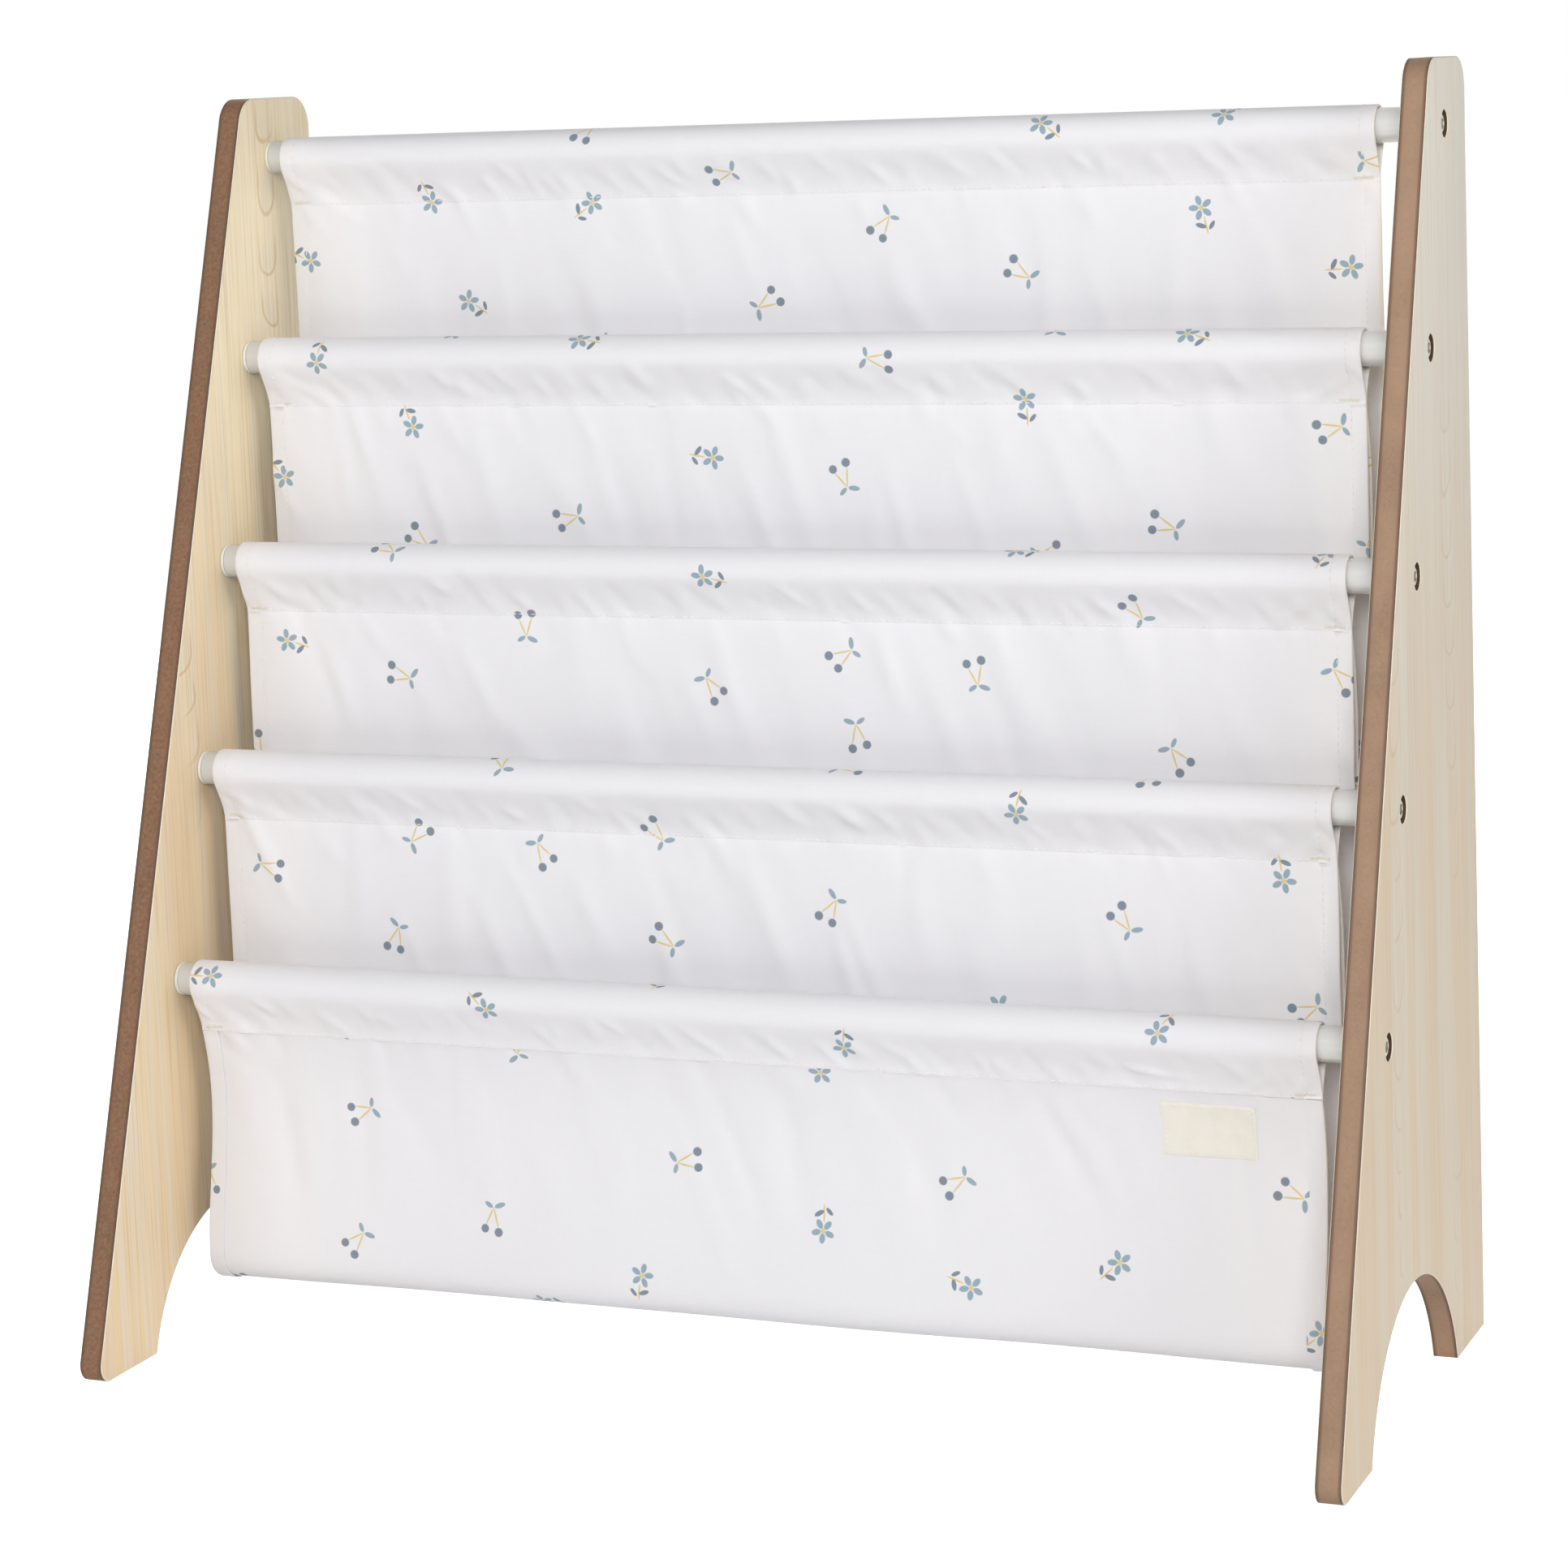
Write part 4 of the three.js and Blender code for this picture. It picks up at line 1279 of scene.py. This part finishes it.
def sewing_thread(name, settings, ground):
    """Polyester, spun and twisted: a dull sheen, and painted shade between its plies that shows as fine
    slanting lines.
    """
    material, node = new_material(name)
    plies = {"Scale": WAVE_SPACING / (0.4 * MM), "Distortion": 1.0}
    ply_shade = node("TexWave", plies, "Fac", bands_direction="DIAGONAL")
    # Painted shade between the plies, drawn as fine slanting lines
    colour = tinted(node, ground, (settings.thread_shade, ply_shade, 0, 1, 0.25))
    return finish(material, {"Base Color": colour, "Roughness": 0.65})


def woven_tape(settings):
    """Cotton tape, woven in fine ribs: cream, matt, and faintly uneven."""
    material, node = new_material("cotton_tape_ribbed")
    place = node("Attribute", output="Vector", attribute_name="cloth_place")
    # Ribs 0.8 mm apart, coarser than real tape so that they show
    spacing = {"Scale": WAVE_SPACING / (0.8 * MM), "Distortion": 0.6, "Detail": 1.0}
    ribs = node("TexWave", {"Vector": place, **spacing}, "Fac", bands_direction="Y")
    mottle = node("TexNoise", {"Vector": place, "Scale": 1 / (7 * MM), "Detail": 4.0})
    colour = tinted(node, settings.tape, (settings.tape_mottle, mottle, 0.3, 0.8, 0.35))
    bump = node("Bump", {"Strength": 0.3, "Distance": 0.08 * MM, "Height": ribs})
    return finish(material, {"Base Color": colour, "Roughness": 0.9, "Normal": bump})


def cloth_materials(settings):
    """The canvas and the two threads, each made by the first operator that asks for it."""
    materials = []
    for name, make, *details in (
        ("cotton_canvas_woven_printed", printed_canvas, settings),
        ("polyester_thread_seams", sewing_thread, settings, settings.thread_colour),
        ("polyester_thread_bar_tacks", sewing_thread, settings, settings.tack_colour),
    ):
        materials.append(bpy.data.materials.get(name) or make(name, *details))
    return materials


class BOOKSHELF_OT_rod_sleeves(bpy.types.Operator):
    """Builds the five cloth sleeves round the tubes, with their seams, hems and bar tacks"""

    bl_idname = "bookshelf.rod_sleeves"
    bl_label = "Rod Sleeves"

    def execute(self, context):
        settings = context.scene.bookshelf_cloth
        cloth = ClothFrame(settings)
        canvas, thread, tack = cloth_materials(settings)
        for tube in TUBES:
            sheet = ClothSheet(cloth, "sleeve", tube)
            name = f"cloth_sleeve_{tube}"
            piece = add_piece(name, sheet.mesh(name), [canvas], [f"rod_sleeve_{tube}"])
            seams = add_stitching(f"sleeve_{tube}_stitching", sheet_rows(sheet), thread, settings)
            tacks = [bar_tack(sheet, edge, lean) for edge, lean in cloth.edges]
            bars = add_stitching(f"sleeve_{tube}_bar_tacks", tacks, tack, settings)
        return {"FINISHED"}


class BOOKSHELF_OT_pocket_slings(bpy.types.Operator):
    """Builds the four hanging book pockets, with their folds, creases and hems"""

    bl_idname = "bookshelf.pocket_slings"
    bl_label = "Pocket Slings"

    def execute(self, context):
        settings = context.scene.bookshelf_cloth
        cloth = ClothFrame(settings)
        canvas, thread, _ = cloth_materials(settings)
        for pocket in POCKETS:
            sheet = ClothSheet(cloth, "pocket", pocket)
            name, node = f"cloth_pocket_{pocket}", f"pocket_sling_{pocket}"
            piece = add_piece(name, sheet.mesh(name), [canvas], [node])
            seams = add_stitching(f"pocket_{pocket}_stitching", sheet_rows(sheet), thread, settings)
        return {"FINISHED"}


class BOOKSHELF_OT_sewn_label(bpy.types.Operator):
    """Builds the bare woven label sewn to the lowest pocket"""

    bl_idname = "bookshelf.sewn_label"
    bl_label = "Sewn Label"

    def execute(self, context):
        settings = context.scene.bookshelf_cloth
        cloth = ClothFrame(settings)
        pocket = TUBE_COUNT - 1
        sheet = ClothSheet(cloth, "pocket", pocket)
        low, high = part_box("sewn_label")
        # The label's rows, level with the frame's label on the climbing front wall
        heights = sheet.middle[:, sheet.middle.shape[1] // 2, 2]
        lowest = int(np.argmin(heights))
        across = np.linspace(low.x, high.x, 61)
        levels = np.linspace(low.z, high.z, 37)
        stations = np.interp(levels, heights[lowest:], sheet.stations[lowest:])
        points, normals = sheet.surface(across, stations[:, None], -1.0)
        under = points + normals * 0.08 * MM
        # The tape's ends are folded under, so its rim is full and its middle dips a little
        share_x, share_z = (np.abs(np.linspace(-1, 1, len(line))) for line in (across, stations))
        share_z = share_z[:, None]
        rim = np.maximum(share_x**14, share_z**10)
        edge = 1 - np.maximum(share_x**60, share_z**40)
        thickness = settings.label_thickness
        rise = thickness * (0.55 + 0.45 * edge) + 0.12 * MM * rim * edge
        top = under + normals * rise[..., None]
        flat = np.stack(np.broadcast_arrays(across, stations[:, None], 0.0), axis=2)
        name = "cloth_label"
        mesh = sheet_mesh(name, under, top, flat)
        piece = add_piece(name, mesh, [woven_tape(settings)], ["sewn_label"])

        lift, inset = thickness + 0.1 * MM, 1.6 * MM
        left, right = low.x + inset, high.x - inset
        foot, head = stations[0] + inset, stations[-1] - inset
        corners = [(left, foot), (right, foot), (right, head), (left, head)]
        rows = []
        for start, end in zip(corners, corners[1:] + corners[:1]):
            spots, outward = stitch_row(sheet, start, end, 1.7 * MM, 2.4 * MM, -1.0)
            rows.append((spots + outward * lift, outward))
        seams = add_stitching("label_stitching", rows, cloth_materials(settings)[1], settings)
        return {"FINISHED"}


# Stage

CAMERA_PLACE = (740.7 * MM, -1751.7 * MM, 610.0 * MM)
CAMERA_YAW = math.radians(22.518)
CAMERA_PITCH = math.radians(7.45)
CAMERA_ROLL = math.radians(-2.161)
CAMERA_LENS = 95.37
CAMERA_SHIFT = -0.12

# The softboxes by their size and place
SOFTBOXES = {
    "key": (1.0, (0.95, -2.4, 1.4)),
    "side": (1.4, (2.75, -1.0, 1.2)),
    "left": (1.2, (-1.4, -2.3, 1.2)),
    "rear": (1.6, (-1.5, 2.0, 1.1)),
}


def camera_matrix():
    """The camera's place and aim: turned to the left, tipped down and rolled a little."""
    right = Vector((math.cos(CAMERA_YAW), math.sin(CAMERA_YAW), 0))
    level = Vector((-math.sin(CAMERA_YAW), math.cos(CAMERA_YAW), 0))
    forward = level * math.cos(CAMERA_PITCH) - Vector((0, 0, math.sin(CAMERA_PITCH)))
    up = right.cross(forward)
    rolled_right = right * math.cos(CAMERA_ROLL) + up * math.sin(CAMERA_ROLL)
    rolled_up = up * math.cos(CAMERA_ROLL) - right * math.sin(CAMERA_ROLL)
    turn = Matrix((rolled_right, rolled_up, -forward)).transposed().to_4x4()
    return Matrix.Translation(CAMERA_PLACE) @ turn


def add_lamp(name, power, size, place, aim):
    """A square softbox at a place, turned to its aim."""
    lamp = bpy.data.lights.new(name, "AREA")
    lamp.shape = "SQUARE"
    lamp.size = size
    lamp.energy = power
    holder = bpy.data.objects.new(name, lamp)
    bpy.context.scene.collection.objects.link(holder)
    holder.location = place
    holder.rotation_mode = "QUATERNION"
    holder.rotation_quaternion = (Vector(aim) - Vector(place)).to_track_quat("-Z", "Y")


def seen_directly(node, *kinds):
    """1 for rays of these kinds, and 0 for the light that falls on things."""
    rays = node("LightPath").node.outputs
    direct = rays[kinds[0]]
    for kind in kinds[1:]:
        direct = node("Math", {0: direct, 1: rays[kind]}, operation="MAXIMUM")
    return direct


def studio_floor(settings):
    """Studio floor, painted matt white: it takes the shadow and looks white to the camera."""
    material, node = new_material("studio_floor_matt_white")
    direct = seen_directly(node, "Is Camera Ray", "Is Glossy Ray")
    mottle = node("TexNoise", {"Scale": 3.0, "Detail": 2.0})
    tones = {6: settings.floor_colour, 7: settings.floor_mottle}
    colour = node("Mix", {0: mottle, **tones}, 2, data_type="RGBA")
    lift = node("Math", {0: direct, 1: 0.88}, operation="MULTIPLY")
    glow = {"Emission Strength": lift, "Emission Color": linear("#FFFFFF")}
    matt = {"Roughness": 1.0, "Specular IOR Level": 0.0}
    return finish(material, {"Base Color": colour, **glow, **matt})


def studio_world(settings):
    """Even white light from all round, and plain white where the camera looks past the floor."""
    world = bpy.data.worlds.new("studio_world")
    bpy.context.scene.world = world
    world.use_nodes = True
    node = functools.partial(add_node, world.node_tree)
    direct = seen_directly(node, "Is Camera Ray", "Is Glossy Ray", "Is Transmission Ray")
    strength = node("MapRange", {"Value": direct, "To Min": settings.sky, "To Max": 1.0})
    connect(world.node_tree.nodes["Background"], {"Color": linear("#FFFFFF"), "Strength": strength})


class BOOKSHELF_OT_stage(bpy.types.Operator):
    """Builds the floor, the lamps, the white surroundings and the camera"""

    bl_idname = "bookshelf.stage"
    bl_label = "Stage"

    def execute(self, context):
        settings = context.scene.bookshelf_stage
        reach = 30.0
        mesh = bpy.data.meshes.new("studio_floor")
        corners = [(-reach, -reach, 0), (reach, -reach, 0), (reach, reach, 0), (-reach, reach, 0)]
        mesh.from_pydata(corners, [], [(0, 1, 2, 3)])
        floor = bpy.data.objects.new("studio_floor", mesh)
        context.scene.collection.objects.link(floor)
        mesh.materials.append(studio_floor(settings))
        middle = (cad_corners[0] + cad_corners[1]) / 2
        for name, (size, place) in SOFTBOXES.items():
            add_lamp(f"{name}_softbox", getattr(settings, f"{name}_power"), size, place, middle)
        studio_world(settings)
        camera = bpy.data.cameras.new("photograph_camera")
        camera.lens = CAMERA_LENS
        camera.sensor_width = 36
        camera.shift_y = CAMERA_SHIFT
        camera.clip_start, camera.clip_end = 0.05, 100
        holder = bpy.data.objects.new("photograph_camera", camera)
        context.scene.collection.objects.link(holder)
        holder.matrix_world = camera_matrix()
        context.scene.camera = holder
        context.scene.view_settings.view_transform = "Standard"
        return {"FINISHED"}


OPERATORS = (
    BOOKSHELF_OT_side_boards,
    BOOKSHELF_OT_tubes,
    BOOKSHELF_OT_tube_plugs,
    BOOKSHELF_OT_bolts,
    BOOKSHELF_OT_rod_sleeves,
    BOOKSHELF_OT_pocket_slings,
    BOOKSHELF_OT_sewn_label,
    BOOKSHELF_OT_stage,
)


class BOOKSHELF_PT_panel(bpy.types.Panel):
    bl_idname = "BOOKSHELF_PT_panel"
    bl_label = "Sling Bookshelf"
    bl_space_type = "VIEW_3D"
    bl_region_type = "UI"
    bl_category = "Bookshelf"

    def draw(self, context):
        for operator in OPERATORS:
            self.layout.operator(operator.bl_idname)
        for name, group in SETTINGS.items():
            box = self.layout.box()
            box.label(text=group.__name__)
            for setting in group.__annotations__:
                box.prop(getattr(context.scene, name), setting)


CLASSES = (*SETTINGS.values(), *OPERATORS, BOOKSHELF_PT_panel)


def register():
    for made in CLASSES:
        bpy.utils.register_class(made)
    for name, group in SETTINGS.items():
        setattr(bpy.types.Scene, name, bpy.props.PointerProperty(type=group))


def unregister():
    for name in SETTINGS:
        delattr(bpy.types.Scene, name)
    for made in reversed(CLASSES):
        bpy.utils.unregister_class(made)


def main():
    register()
    for operator in OPERATORS:
        getattr(bpy.ops.bookshelf, operator.bl_idname.split(".")[1])()


if __name__ == "__main__":
    main()
